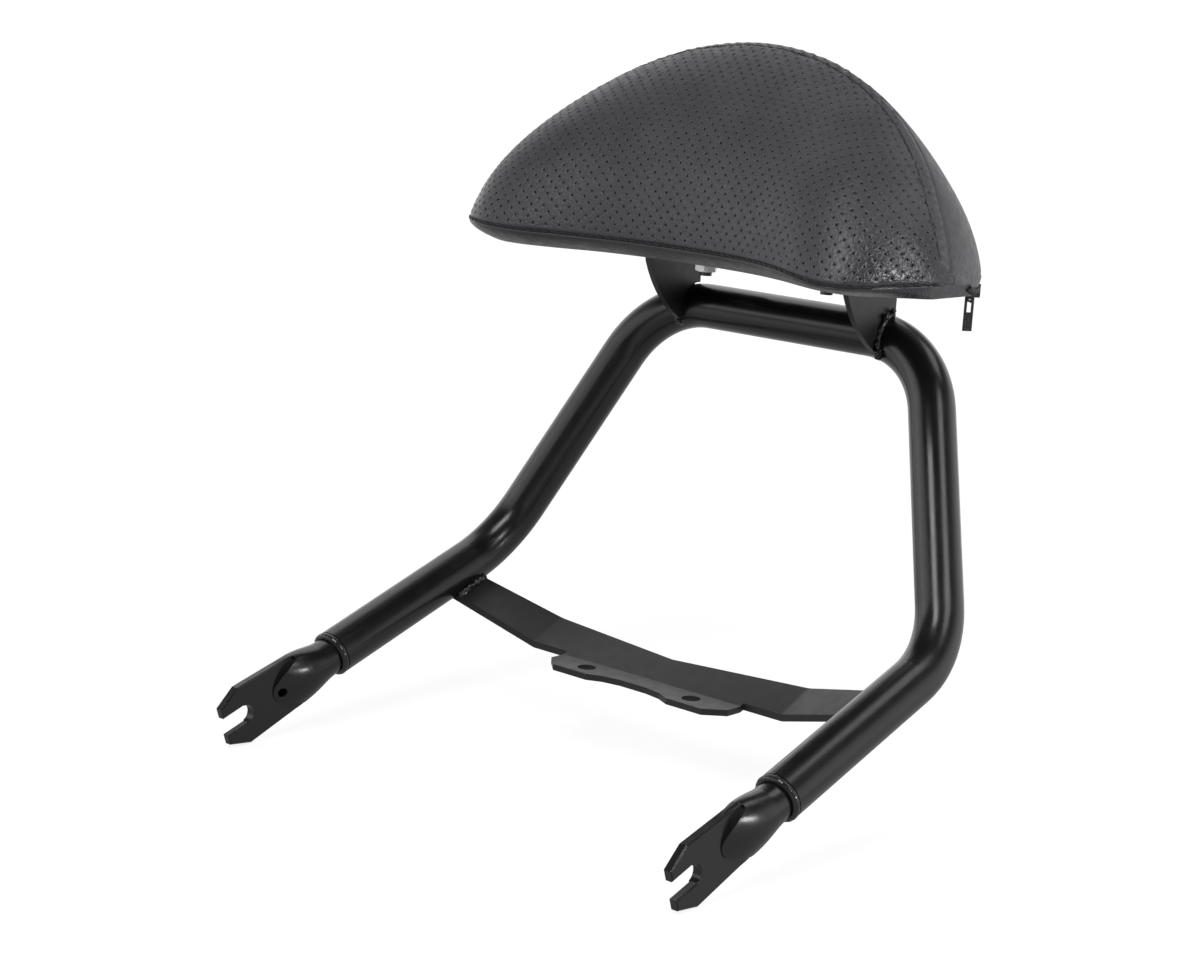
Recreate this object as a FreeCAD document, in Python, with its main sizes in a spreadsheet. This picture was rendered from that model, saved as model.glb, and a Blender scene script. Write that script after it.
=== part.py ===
"""Passenger backrest for a motorbike: tube hoop, fork ends, strap, pad brackets and pad.

Millimetres. X points right, Y to the rear and Z up. The origin is the middle of the strap's two bolt holes,
on the flange's top face. Right-hand pieces are modelled and left-hand ones are their mirror images.
"""
import FreeCAD, Part
import math
import os

import Sketcher

os.makedirs("parts", exist_ok=True)
doc = FreeCAD.newDocument("passenger_backrest")
Vector = FreeCAD.Vector
Rotation = FreeCAD.Rotation

# Driving dimensions in millimetres and degrees
SIZES = {
    # bent tube
    "tube_od": 22.2, "tube_wall": 2.0, "bend_radius": 49.0,
    "arm_half": 137.0, "arm_slope": 20.0, "arm_length": 122.0,
    "lower_y": 46.2, "lower_z": 36.5,
    "crossbar_half": 82.3, "upper_y": 96.9, "upper_z": 167.8,
    # fork ends, measured forward from the tube's mouth
    "insert_gap": 0.1, "insert_depth": 25.0, "fork_wall": 2.0, "fork_plate": 4.5,
    "fork_reach": 73.2, "fork_root": 12.0, "fork_waist_at": 27.0, "fork_waist_half": 13.6,
    "fork_corner_at": 61.5, "fork_half": 15.2, "fork_tip_half": 9.7,
    "slot_width": 9.2, "slot_depth": 17.3, "prong_edge": 0.7,
    "dome_start": 8.0, "dome_reach": 43.5, "dome_half": 12.0,
    "press_at": 26.0, "press_half": 11.5, "press_radius": 40.0,
    "nose_at": 40.5, "nose_half": 4.6, "nose_radius": 5.75,
    "vent_at": 38.5, "vent_bore": 4.5, "fork_bead": 1.9,
    # strap and its flange
    "strap_sheet": 3.0, "strap_slope": 24.0, "strap_width": 24.8, "strap_half": 77.0, "strap_bend": 3.0,
    "flange_fold": 8.3, "ear_front": 9.2, "ear_inner": 25.0, "ear_outer": 46.0,
    "flange_end": 55.0, "flange_end_front": 0.8, "flange_dip": 3.6, "flange_dip_half": 8.0, "waist_half": 17.5, "waist_front": 5.4,
    "relief_end": 60.0, "relief_depth": 2.6, "rear_dip": 6.3,
    "hole_spacing": 65.0, "hole_bore": 9.0, "strap_bead": 2.8, "wing_contact": 40.0,
    # pad brackets
    "bracket_sheet": 3.0, "web_outer": 61.1, "bracket_inner": 23.0, "bracket_ahead": 17.7, "bracket_behind": 1.4,
    "bracket_fold": 2.0, "web_front_drop": 6.0, "web_front_radius": 64.0,
    "web_tip_ahead": 12.5, "web_tip_below": 7.0, "notch_start": 28.0, "flange_corner": 6.0, "bracket_bead": 2.0,
    # pad bolts
    "bolt_half": 36.7, "bolt_y": 75.2, "bolt_size": 6.0, "bolt_length": 25.0, "bolt_gap": 0.3,
    "bolt_head": 14.0, "bolt_head_height": 3.4, "nut_flats": 10.0, "nut_height": 5.0,
    "washer_od": 12.0, "washer_sheet": 1.6, "bracket_hole": 7.0,
    # pad, with depths measured from the bolts
    "pad_seat": 197.5, "pad_half": 136.2, "pad_rise": 102.5, "pad_lean": 24.6, "pad_skirt": 8.5,
    "seam_ahead": 58.2, "front_mid": 73.1, "front_corner": 93.3, "tip_ahead": 38.2, "rear_behind": 20.2,
    "front_bulge": 0.13, "rear_bulge": 0.181, "skirt_tuck": 5.5, "front_tuck": 20.0, "cover_sheet": 1.4,
    "board_sheet": 12.0,
    # zip
    "zip_height": 2.4, "zip_rib": 1.7, "slider_from_tip": 19.0, "slider_length": 9.0, "slider_out": 3.2,
    "slider_up": 1.8, "slider_down": 4.4, "zip_gap": 0.3,
    "crown_half": 3.4, "crown_wire": 1.0, "crown_width": 1.2,
    "pull_length": 15.0, "pull_width": 4.2, "pull_sheet": 1.0, "pull_slot": 6.5, "pull_slot_width": 2.2,
}

# Dimensions worked out from the driving ones
WORKED = {
    "tube_r": "tube_od / 2",
    "bore_r": "tube_od / 2 - tube_wall",
    "mouth_y": "lower_y - arm_length * cos(arm_slope * 1 deg)",
    "mouth_z": "lower_z - arm_length * sin(arm_slope * 1 deg)",
    "insert_r": "bore_r - insert_gap",
    "insert_bore_r": "insert_r - fork_wall",
    "slot_half": "slot_width / 2",
    "slot_end": "fork_reach - slot_depth + slot_half",
    "strap_rise_y": "flange_fold + strap_width * cos(strap_slope * 1 deg)",
    "strap_rise_z": "strap_width * sin(strap_slope * 1 deg)",
    "strap_under_y": "strap_rise_y + strap_sheet * sin(strap_slope * 1 deg)",
    "strap_under_z": "strap_rise_z - strap_sheet * cos(strap_slope * 1 deg)",
    "fold_under_y": "flange_fold + strap_sheet * tan(strap_slope * 0.5 deg)",
    "strap_front": "flange_fold + relief_depth",
    "strap_rear_mid": "strap_rise_y - rear_dip",
    "strap_mid_y": "flange_fold + strap_width / 2 * cos(strap_slope * 1 deg)",
    "arm_over_strap": "(lower_z - (lower_y - strap_mid_y) * tan(arm_slope * 1 deg) - strap_rise_z / 2)"
                      " * cos(strap_slope * 1 deg)",
    "weld_x": "arm_half - tube_r * cos(wing_contact * 1 deg)",
    "weld_rise": "arm_over_strap - tube_r * sin(wing_contact * 1 deg)",
    "wing_tan": "weld_rise / (weld_x - strap_half)",
    "wing_end": "weld_x + tube_r / 2",
    "wing_end_rise": "(wing_end - strap_half) * wing_tan",
    "wing_under_drop": "strap_sheet * sqrt(1 + wing_tan ^ 2)",
    "wing_end_under": "wing_end_rise - wing_under_drop",
    "wing_fold_under": "strap_half + strap_sheet * (sqrt(1 + wing_tan ^ 2) - 1) / wing_tan",
    "hole_half": "hole_spacing / 2",
    "web_inner": "web_outer - bracket_sheet",
    "bracket_under": "pad_seat - bracket_sheet",
    "bracket_front": "bolt_y - bracket_ahead",
    "bracket_rear": "upper_y + bracket_behind",
    "web_low": "upper_z - tube_od",
    "web_front_z": "pad_seat - web_front_drop",
    "web_tip_y": "upper_y - web_tip_ahead",
    "web_tip_z": "upper_z - web_tip_below",
    "notch_y": "upper_y - tube_r * cos(notch_start * 1 deg)",
    "notch_z": "upper_z - tube_r * sin(notch_start * 1 deg)",
    "notch_rear_z": "upper_z + sqrt(tube_r ^ 2 - bracket_behind ^ 2)",
    "board_low": "pad_seat + cover_sheet",
    "board_top": "board_low + board_sheet",
    "bolt_r": "bolt_size / 2",
    "nut_top": "bracket_under - washer_sheet",
    "pad_edge": "pad_seat + pad_skirt",
    "seam_y": "bolt_y - seam_ahead",
    "pad_arc_r": "(pad_half ^ 2 + pad_rise ^ 2) / (2 * pad_rise)",
    "zip_z": "pad_seat + zip_height",
    "pivot_drop": "slider_down + zip_gap + pull_sheet / 2",
    "crown_drop": "pivot_drop + pull_sheet / 2 + zip_gap",
}

# Pad sections from the middle to the tip: share of the half width, then how far the lower front edge has gone
# from its middle to the corner, from the corner to the tip, the lower rear edge from its middle to the tip,
# and how far the underside has risen towards the seam
PAD_SECTIONS = {
    "mid": (0.0, 0.0, 0.0, 0.0, 0.0),
    "inner": (0.45, 0.55, 0.0, 0.04, 0.010),
    "corner": (0.78, 1.0, 0.0, 0.2, 0.013),
    "outer": (0.93, 1.0, 0.35, 0.5, 0.06),
    "end": (0.985, 1.0, 0.55, 0.83, 0.45),
    "tip": (1.0, 1.0, 0.6, 0.97, 0.85),
}


def add_pad_section(layer, station, inset):
    """Work out one pad section's corner points and arc radii, inset by the cover for the foam."""
    share, to_corner, to_tip, rear_share, lift = PAD_SECTIONS[station]
    key = f"{layer}_{station}"
    front = f"bolt_y - front_mid - (front_corner - front_mid) * {to_corner} + (front_corner - tip_ahead) * {to_tip}"
    WORKED[f"{key}_x"] = f"(pad_half - 1.5 * {inset}) * {share}"
    WORKED[f"{key}_h"] = f"sqrt(pad_arc_r ^ 2 - (pad_half * {share}) ^ 2) - (pad_arc_r - pad_rise)"
    WORKED[f"{key}_top_y"] = f"seam_y + {key}_h * sin(pad_lean * 1 deg)"
    WORKED[f"{key}_front"] = f"{front} + {inset}"
    WORKED[f"{key}_rear"] = f"bolt_y + rear_behind - (rear_behind + tip_ahead) * {rear_share} - {inset}"
    WORKED[f"{key}_low"] = f"pad_seat + {inset} + (pad_skirt - 2 * {inset}) * {lift}"
    WORKED[f"{key}_edge"] = f"pad_edge - 0.4 * {inset}"
    rise = f"{key}_h * cos(pad_lean * 1 deg)"
    WORKED[f"{key}_top_z"] = f"{key}_edge + 1 + {rise} * (1 - 1.5 * {inset} / pad_rise)"
    WORKED[f"{key}_front_low"] = f"{key}_front + front_tuck * (1 - {lift}) + skirt_tuck * {lift}"
    WORKED[f"{key}_rear_low"] = f"{key}_rear - skirt_tuck"
    for side in ("front", "rear"):
        chord = f"sqrt(({key}_top_y - {key}_{side}) ^ 2 + ({key}_top_z - {key}_edge) ^ 2)"
        WORKED[f"{key}_{side}_r"] = f"{chord} * (0.25 + {side}_bulge ^ 2) / (2 * {side}_bulge)"


for station_name in PAD_SECTIONS:
    add_pad_section("skin", station_name, "0")
    add_pad_section("core", station_name, "cover_sheet")


def make_sheet():
    """Write every dimension into the spreadsheet, one alias a cell."""
    page = doc.addObject("Spreadsheet::Sheet", "Sizes")
    lines = [(alias, str(value)) for alias, value in SIZES.items()]
    lines += [(alias, "=" + formula) for alias, formula in WORKED.items()]
    for row, (alias, text) in enumerate(lines, start=1):
        page.set(f"A{row}", alias)
        page.set(f"B{row}", text)
        page.setAlias(f"B{row}", alias)
    doc.recompute()
    return page


sheet = make_sheet()


def number(text):
    """Present value of an alias, with or without a minus sign, or of a plain number."""
    sign = -1.0 if text.startswith("-") else 1.0
    word = text.lstrip("-")
    return sign * (float(word) if word[0].isdigit() else float(sheet.get(word)))


def cell(text):
    """Expression for an alias, with or without a minus sign."""
    return text.replace("-", "-Sizes.") if text.startswith("-") else "Sizes." + text


def bind(thing, **places):
    """Bind properties to cells; a double underscore in a name stands for a dot."""
    for name, text in places.items():
        thing.setExpression(name.replace("__", "."), text)
    return thing


def make(kind, name, **places):
    """Add a document object with its properties bound."""
    return bind(doc.addObject(kind, name), **places)


def boolean(kind, name, base, tool):
    """Cut, fuse or common of two objects."""
    result = doc.addObject(kind, name)
    result.Base = base
    result.Tool = tool
    return result


def cut_all(name, base, tools):
    """Cut several tools from a base, one after another."""
    result = base
    for count, tool in enumerate(tools, start=1):
        result = boolean("Part::Cut", name if count == len(tools) else f"{name}_cut_{count}", result, tool)
    return result


def group(kind, name, members):
    """Fuse or compound of several objects."""
    result = doc.addObject(kind, name)
    if kind == "Part::Compound":
        result.Links = members
    else:
        result.Shapes = members
    return result


def mirrored(name, source):
    """The left-hand twin of a right-hand object."""
    twin = doc.addObject("Part::Mirroring", name)
    twin.Source = source
    twin.Normal = Vector(1, 0, 0)
    return twin


def arc_between(first, last, radius, turn):
    """Short arc from first to last, counter-clockwise for turn 1 and clockwise for turn -1."""
    chord = last - first
    side = Vector(-chord.y, chord.x, 0).normalize() * turn
    centre = (first + last) * 0.5 + side * math.sqrt(max(radius ** 2 - chord.Length ** 2 / 4, 0))
    start, end = (first, last) if turn > 0 else (last, first)
    angles = [math.atan2(point.y - centre.y, point.x - centre.x) for point in (start, end)]
    return Part.ArcOfCircle(Part.Circle(centre, Vector(0, 0, 1), radius), *angles)


def draw(sketch, corners, arcs=None):
    """Closed outline with every corner bound to cells; arcs maps a side to its radius and turn."""
    arcs = arcs or {}
    points = [Vector(number(x), number(y), 0) for x, y in corners]
    sides = []
    for place, point in enumerate(points):
        following = points[(place + 1) % len(points)]
        if place in arcs:
            radius, turn = arcs[place]
            side = sketch.addGeometry(arc_between(point, following, number(radius), turn))
            sides.append((side, 1, 2) if turn > 0 else (side, 2, 1))
            rule = sketch.addConstraint(Sketcher.Constraint("Radius", side, number(radius)))
            sketch.setExpression(f"Constraints[{rule}]", cell(radius))
        else:
            sides.append((sketch.addGeometry(Part.LineSegment(point, following)), 1, 2))
    for place, (side, start, end) in enumerate(sides):
        after, after_start, _ = sides[(place + 1) % len(sides)]
        sketch.addConstraint(Sketcher.Constraint("Coincident", side, end, after, after_start))
    for (side, start, _), (x, y) in zip(sides, corners):
        for text, axis, rule_name in ((x, -2, "DistanceX"), (y, -1, "DistanceY")):
            if text == "0":
                sketch.addConstraint(Sketcher.Constraint("PointOnObject", side, start, axis))
                continue
            rule = sketch.addConstraint(Sketcher.Constraint(rule_name, -1, 1, side, start, number(text)))
            sketch.setExpression(f"Constraints[{rule}]", cell(text))
    return sketch


def both_sides(right):
    """Right half of an outline, from front middle to rear middle, joined to its mirror image."""
    left = [("-" + x, y) for x, y in reversed(right) if x != "0"]
    return right + left


def new_sketch(body, role, name):
    """Sketch on one of a body's origin planes."""
    plane = next(item for item in body.Origin.OriginFeatures if item.Role == role)
    sketch = body.newObject("Sketcher::SketchObject", name)
    sketch.AttachmentSupport = (plane, [""])
    sketch.MapMode = "FlatFace"
    return sketch


def pad_sketch(body, sketch, name, length, both_ways=False, reverse=False):
    """Pad a sketch by a bound length."""
    feature = body.newObject("PartDesign::Pad", name)
    feature.Profile = sketch
    feature.SideType = "Symmetric" if both_ways else "One side"
    feature.Reversed = reverse
    feature.setExpression("Length", length)
    doc.recompute()
    return feature


def pocket_through(body, sketch, name):
    """Cut a sketch right through a body, both ways."""
    feature = body.newObject("PartDesign::Pocket", name)
    feature.Profile = sketch
    feature.Type = "ThroughAll"
    feature.SideType = "Symmetric"
    doc.recompute()
    return feature


def trim_outside(sketch, corners, arcs=None, margin="400"):
    """Turn an outline into what lies outside it, for a trimming pocket."""
    low, high = "-" + margin, margin
    frame = [(low, low), (high, low), (high, high), (low, high)]
    points = [Vector(number(x), number(y), 0) for x, y in frame]
    first = sketch.GeometryCount
    for place in range(4):
        sketch.addGeometry(Part.LineSegment(points[place], points[(place + 1) % 4]))
    for place in range(4):
        side, after = first + place, first + (place + 1) % 4
        sketch.addConstraint(Sketcher.Constraint("Coincident", side, 2, after, 1))
        for rule_name, value in (("DistanceX", points[place].x), ("DistanceY", points[place].y)):
            sketch.addConstraint(Sketcher.Constraint(rule_name, -1, 1, side, 1, value))
    return draw(sketch, corners, arcs)


def round_fold(body, name, radius, *lines):
    """Fillet the edges that lie along given lines, each a point and a direction."""
    shape = body.Shape
    names = []
    for count, edge in enumerate(shape.Edges, start=1):
        ends = [vertex.Point for vertex in edge.Vertexes]
        for point, direction in lines:
            if len(ends) == 2 and all(end.distanceToLine(point, direction) < 0.01 for end in ends):
                names.append(f"Edge{count}")
    before = body.Tip
    feature = body.newObject("PartDesign::Fillet", name)
    feature.Base = (before, names)
    feature.setExpression("Radius", radius)
    doc.recompute()
    return feature


def rounded_path(points, radius):
    """Wire through points, each inner corner rounded to the bend radius."""
    edges = []
    start = points[0]
    for before, corner, after in zip(points, points[1:], points[2:]):
        back = (before - corner).normalize()
        ahead = (after - corner).normalize()
        half = back.getAngle(ahead) / 2
        first = corner + back * (radius / math.tan(half))
        last = corner + ahead * (radius / math.tan(half))
        middle = corner + (back + ahead).normalize() * (radius / math.sin(half) - radius)
        edges += [Part.makeLine(start, first), Part.Arc(first, middle, last).toShape()]
        start = last
    edges.append(Part.makeLine(start, points[-1]))
    return Part.Wire(edges)


def make_tube():
    """One bent tube: arm, lower bend, upright, upper bend, crossbar and back down the other side."""
    right = [[number(name) for name in names] for names in (
        ("arm_half", "mouth_y", "mouth_z"), ("arm_half", "lower_y", "lower_z"),
        ("crossbar_half", "upper_y", "upper_z"))]
    corners = [Vector(*point) for point in right] + [Vector(-x, y, z) for x, y, z in reversed(right)]
    path = doc.addObject("Part::Feature", "frame_path")
    path.Shape = rounded_path(corners, number("bend_radius"))
    sweeps = []
    for name, radius in (("tube_outside", "tube_r"), ("tube_inside", "bore_r")):
        ring = make("Part::Circle", name + "_ring", Radius=cell(radius))
        ring.Placement = FreeCAD.Placement(corners[0], Rotation(Vector(1, 0, 0), number("arm_slope") - 90))
        sweep = doc.addObject("Part::Sweep", name)
        sweep.Sections = [ring]
        sweep.Spine = (path, [f"Edge{count}" for count in range(1, len(path.Shape.Edges) + 1)])
        sweep.Solid = True
        sweeps.append(sweep)
    return sweeps[0], boolean("Part::Cut", "frame_tube", *sweeps)


# Flattening of a fork tube: share of the pressed length, half width and half thickness, each as a formula
PRESSED_RINGS = (
    (0.0, "Sizes.insert_r", "Sizes.insert_r"), (0.2, "Sizes.insert_r + 0.5", "Sizes.insert_r"),
    (0.6, "Sizes.fork_waist_half", "Sizes.insert_r - 0.7"),
    (0.83, "Sizes.fork_waist_half + 0.5", "Sizes.insert_r - 3.8"),
    (1.0, "Sizes.fork_waist_half + 0.7", "Sizes.fork_plate / 2 + 0.2"),
)


def ring_loft(name, rings):
    """Solid through upright ellipses; each gives its place forward, half width and half thickness."""
    loft = doc.addObject("Part::Loft", name)
    sections = []
    for count, (forward, wide, thick) in enumerate(rings):
        ring = make("Part::Ellipse", f"{name}_ring_{count}", MajorRadius=wide, MinorRadius=thick)
        ring.Placement.Rotation = Rotation(Vector(1, 1, 1), 240)
        bind(ring, Placement__Base__y=f"-({forward})")
        sections.append(ring)
    loft.Sections = sections
    loft.Solid = True
    return loft


def pressed_tube():
    """Fork tube that widens and flattens as it runs forward."""
    return ring_loft("fork_pressed", [
        (f"Sizes.dome_reach * {share}", wide, thick) for share, wide, thick in PRESSED_RINGS])


def press_tool():
    """What the press took off both faces: all outside the plate's thickness, round a tongue-shaped dome."""
    body = doc.addObject("PartDesign::Body", "press_tool_body")
    outline = draw(new_sketch(body, "YZ_Plane", "press_outline"), [
        ("-press_at", "tube_od"), ("-press_at", "press_half"), ("-nose_at", "nose_half"), ("-nose_at", "-nose_half"),
        ("-press_at", "-press_half"), ("-press_at", "-tube_od"), ("-fork_reach", "-tube_od"),
        ("-fork_reach", "tube_od")], {1: ("press_radius", 1), 2: ("nose_radius", 1), 3: ("press_radius", 1)})
    pad_sketch(body, outline, "press_tool_pad", "2 * Sizes.tube_od", both_ways=True)
    core = make("Part::Box", "press_core", Length="Sizes.fork_plate", Width="2 * Sizes.fork_reach",
                Height="4 * Sizes.tube_od", Placement__Base__x="-Sizes.fork_plate / 2",
                Placement__Base__y="-2 * Sizes.fork_reach", Placement__Base__z="-2 * Sizes.tube_od")
    return boolean("Part::Cut", "press_tool", body, core)


def fork_hollow():
    """Inside of the fork tube, closing towards the dome's nose."""
    rings = [("0", "Sizes.insert_bore_r", "Sizes.insert_bore_r")]
    for share in (0.17, 0.535, 0.79, 0.9):
        close = f"sqrt(1 - {share} ^ 2)"
        rings.append((f"Sizes.dome_start + (Sizes.dome_reach - Sizes.dome_start) * {share}",
                      f"Sizes.dome_half * {close} - Sizes.fork_wall", f"Sizes.insert_r * {close} - Sizes.fork_wall"))
    return ring_loft("fork_hollow", rings)


def ease_prongs(body):
    """Chamfer the outer edges of the fork's prongs on both faces."""
    names = []
    for count, edge in enumerate(body.Shape.Edges, start=1):
        ends = [vertex.Point for vertex in edge.Vertexes]
        in_face = all(abs(abs(end.x) - number("fork_plate") / 2) < 0.01 for end in ends)
        ahead = all(end.y < -number("fork_waist_at") + 0.01 for end in ends)
        outer = all(abs(end.z) > number("slot_half") - 0.01 for end in ends)
        across = abs(ends[0].x - ends[-1].x) > 0.01
        if in_face and ahead and outer and not across:
            names.append(f"Edge{count}")
    before = body.Tip
    feature = body.newObject("PartDesign::Chamfer", "prong_edges")
    feature.Base = (before, names)
    feature.setExpression("Size", "Sizes.prong_edge")
    doc.recompute()


def make_fork_end():
    """Right fork end, drawn pointing along -Y from the tube's mouth and then tilted to the arm."""
    along = Rotation(Vector(1, 0, 0), 90)
    sleeve = make("Part::Cylinder", "fork_sleeve", Radius="Sizes.insert_r", Height="Sizes.insert_depth",
                  Placement__Base__y="Sizes.insert_depth")
    sleeve.Placement.Rotation = along
    dome = boolean("Part::Cut", "fork_dome", pressed_tube(), press_tool())
    body = doc.addObject("PartDesign::Body", "fork_plate_body")
    outline = draw(new_sketch(body, "YZ_Plane", "fork_outline"), [
        ("-fork_root", "-insert_r"), ("-fork_root", "insert_r"), ("-fork_waist_at", "fork_waist_half"),
        ("-fork_corner_at", "fork_half"), ("-fork_reach", "fork_tip_half"), ("-fork_reach", "slot_half"),
        ("-slot_end", "slot_half"), ("-slot_end", "-slot_half"), ("-fork_reach", "-slot_half"),
        ("-fork_reach", "-fork_tip_half"), ("-fork_corner_at", "-fork_half"),
        ("-fork_waist_at", "-fork_waist_half")], {})
    pad_sketch(body, outline, "fork_plate_pad", "Sizes.fork_plate", both_ways=True)
    ease_prongs(body)
    slot = make("Part::Cylinder", "fork_slot_end", Radius="Sizes.slot_half", Height="Sizes.tube_od",
                Placement__Base__x="-Sizes.tube_r", Placement__Base__y="-Sizes.slot_end")
    slot.Placement.Rotation = Rotation(Vector(0, 1, 0), 90)
    bore = make("Part::Cylinder", "fork_bore", Radius="Sizes.insert_bore_r", Height="Sizes.insert_depth",
                Placement__Base__y="Sizes.insert_depth")
    bore.Placement.Rotation = along
    hollow = fork_hollow()
    vent = make("Part::Cylinder", "fork_vent", Radius="Sizes.vent_bore / 2", Height="Sizes.tube_r",
                Placement__Base__x="-Sizes.tube_r", Placement__Base__y="-Sizes.vent_at")
    vent.Placement.Rotation = Rotation(Vector(0, 1, 0), 90)
    solid = group("Part::MultiFuse", "fork_solid", [sleeve, dome, body])
    fork = cut_all("right_fork_end", solid, [slot, bore, hollow, vent])
    bead_ring = make("Part::Torus", "fork_bead_ring", Radius1="Sizes.tube_r - Sizes.fork_bead + 0.2",
                     Radius2="Sizes.fork_bead", Placement__Base__y="-Sizes.fork_bead * 0.8")
    bead_ring.Placement.Rotation = along
    behind = make("Part::Cylinder", "fork_bead_trim", Radius="Sizes.tube_od", Height="Sizes.tube_od",
                  Placement__Base__y="Sizes.tube_od")
    behind.Placement.Rotation = along
    bead = cut_all("right_fork_weld", bead_ring, [behind, solid])
    for piece in (fork, bead):
        piece.Placement.Rotation = Rotation(Vector(1, 0, 0), number("arm_slope"))
        bind(piece, Placement__Base__x="Sizes.arm_half", Placement__Base__y="Sizes.mouth_y",
             Placement__Base__z="Sizes.mouth_z")
    return fork, bead


def make_strap(tube_outside):
    """Folded strap: a sloping middle, a level flange in front and a wing up to each arm."""
    body = doc.addObject("PartDesign::Body", "strap_body")
    profile = draw(new_sketch(body, "YZ_Plane", "strap_profile"), [
        ("-ear_front", "0"), ("-ear_front", "-strap_sheet"), ("fold_under_y", "-strap_sheet"),
        ("strap_under_y", "strap_under_z"), ("strap_rise_y", "strap_rise_z"), ("flange_fold", "0")])
    pad_sketch(body, profile, "strap_middle", "2 * Sizes.strap_half", both_ways=True)
    across = new_sketch(body, "XZ_Plane", "wing_profile")
    across.AttachmentOffset = FreeCAD.Placement(
        Vector(0, 0, -number("flange_fold")), Rotation(Vector(1, 0, 0), number("strap_slope")))
    draw(across, both_sides([
        ("wing_fold_under", "-strap_sheet"), ("wing_end", "wing_end_under"), ("wing_end", "wing_end_rise"),
        ("strap_half", "0")]))
    pad_sketch(body, across, "wings", "Sizes.strap_width", reverse=True)
    slope = Vector(0, math.cos(math.radians(number("strap_slope"))), math.sin(math.radians(number("strap_slope"))))
    fold = Vector(0, number("flange_fold"), 0)
    normal = Vector(0, -slope.z, slope.y)
    wing_folds = [(fold + Vector(side * number("strap_half"), 0, 0), slope) for side in (1, -1)]
    round_fold(body, "wing_bends", "Sizes.strap_bend * 4", *wing_folds)
    plan = new_sketch(body, "XY_Plane", "strap_outline")
    trim_outside(plan, both_sides([
        ("flange_dip_half", "-flange_dip"), ("waist_half", "-waist_front"), ("ear_inner", "-ear_front"),
        ("ear_outer", "-ear_front"),
        ("flange_end", "-flange_end_front"), ("flange_end", "strap_front"), ("relief_end", "strap_front"),
        ("strap_half", "strap_front"), ("wing_end", "flange_fold"), ("wing_end", "strap_rise_y"), ("strap_half", "strap_rise_y"),
        ("0", "strap_rear_mid")]))
    pocket_through(body, plan, "strap_trim")
    fold_under = Vector(0, number("fold_under_y"), -number("strap_sheet"))
    round_fold(body, "flange_bend_top", "Sizes.strap_bend", (fold, Vector(1, 0, 0)))
    round_fold(body, "flange_bend_under", "Sizes.strap_bend + Sizes.strap_sheet", (fold_under, Vector(1, 0, 0)))
    holes = new_sketch(body, "XY_Plane", "flange_holes")
    for sign in ("", "-"):
        centre = Vector(number(sign + "hole_half"), 0, 0)
        ring = holes.addGeometry(Part.Circle(centre, Vector(0, 0, 1), number("hole_bore") / 2))
        rule = holes.addConstraint(Sketcher.Constraint("Diameter", ring, number("hole_bore")))
        holes.setExpression(f"Constraints[{rule}]", "Sizes.hole_bore")
        rule = holes.addConstraint(Sketcher.Constraint("DistanceX", -1, 1, ring, 3, centre.x))
        holes.setExpression(f"Constraints[{rule}]", cell(sign + "hole_half"))
        holes.addConstraint(Sketcher.Constraint("PointOnObject", ring, 3, -1))
    pocket_through(body, holes, "flange_bores")
    strap = boolean("Part::Cut", "mounting_strap", body, tube_outside)
    bead_rod = make("Part::Cylinder", "strap_bead_rod", Radius="Sizes.strap_bead",
                    Height="Sizes.strap_width - 2 * Sizes.strap_bead")
    bead_rod.Placement = FreeCAD.Placement(
        fold + Vector(number("weld_x"), 0, 0) + normal * number("weld_rise") + slope * (2 * number("strap_bead")),
        Rotation(Vector(0, 0, 1), slope))
    bead = cut_all("right_strap_weld", bead_rod, [tube_outside, strap])
    return strap, bead


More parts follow.
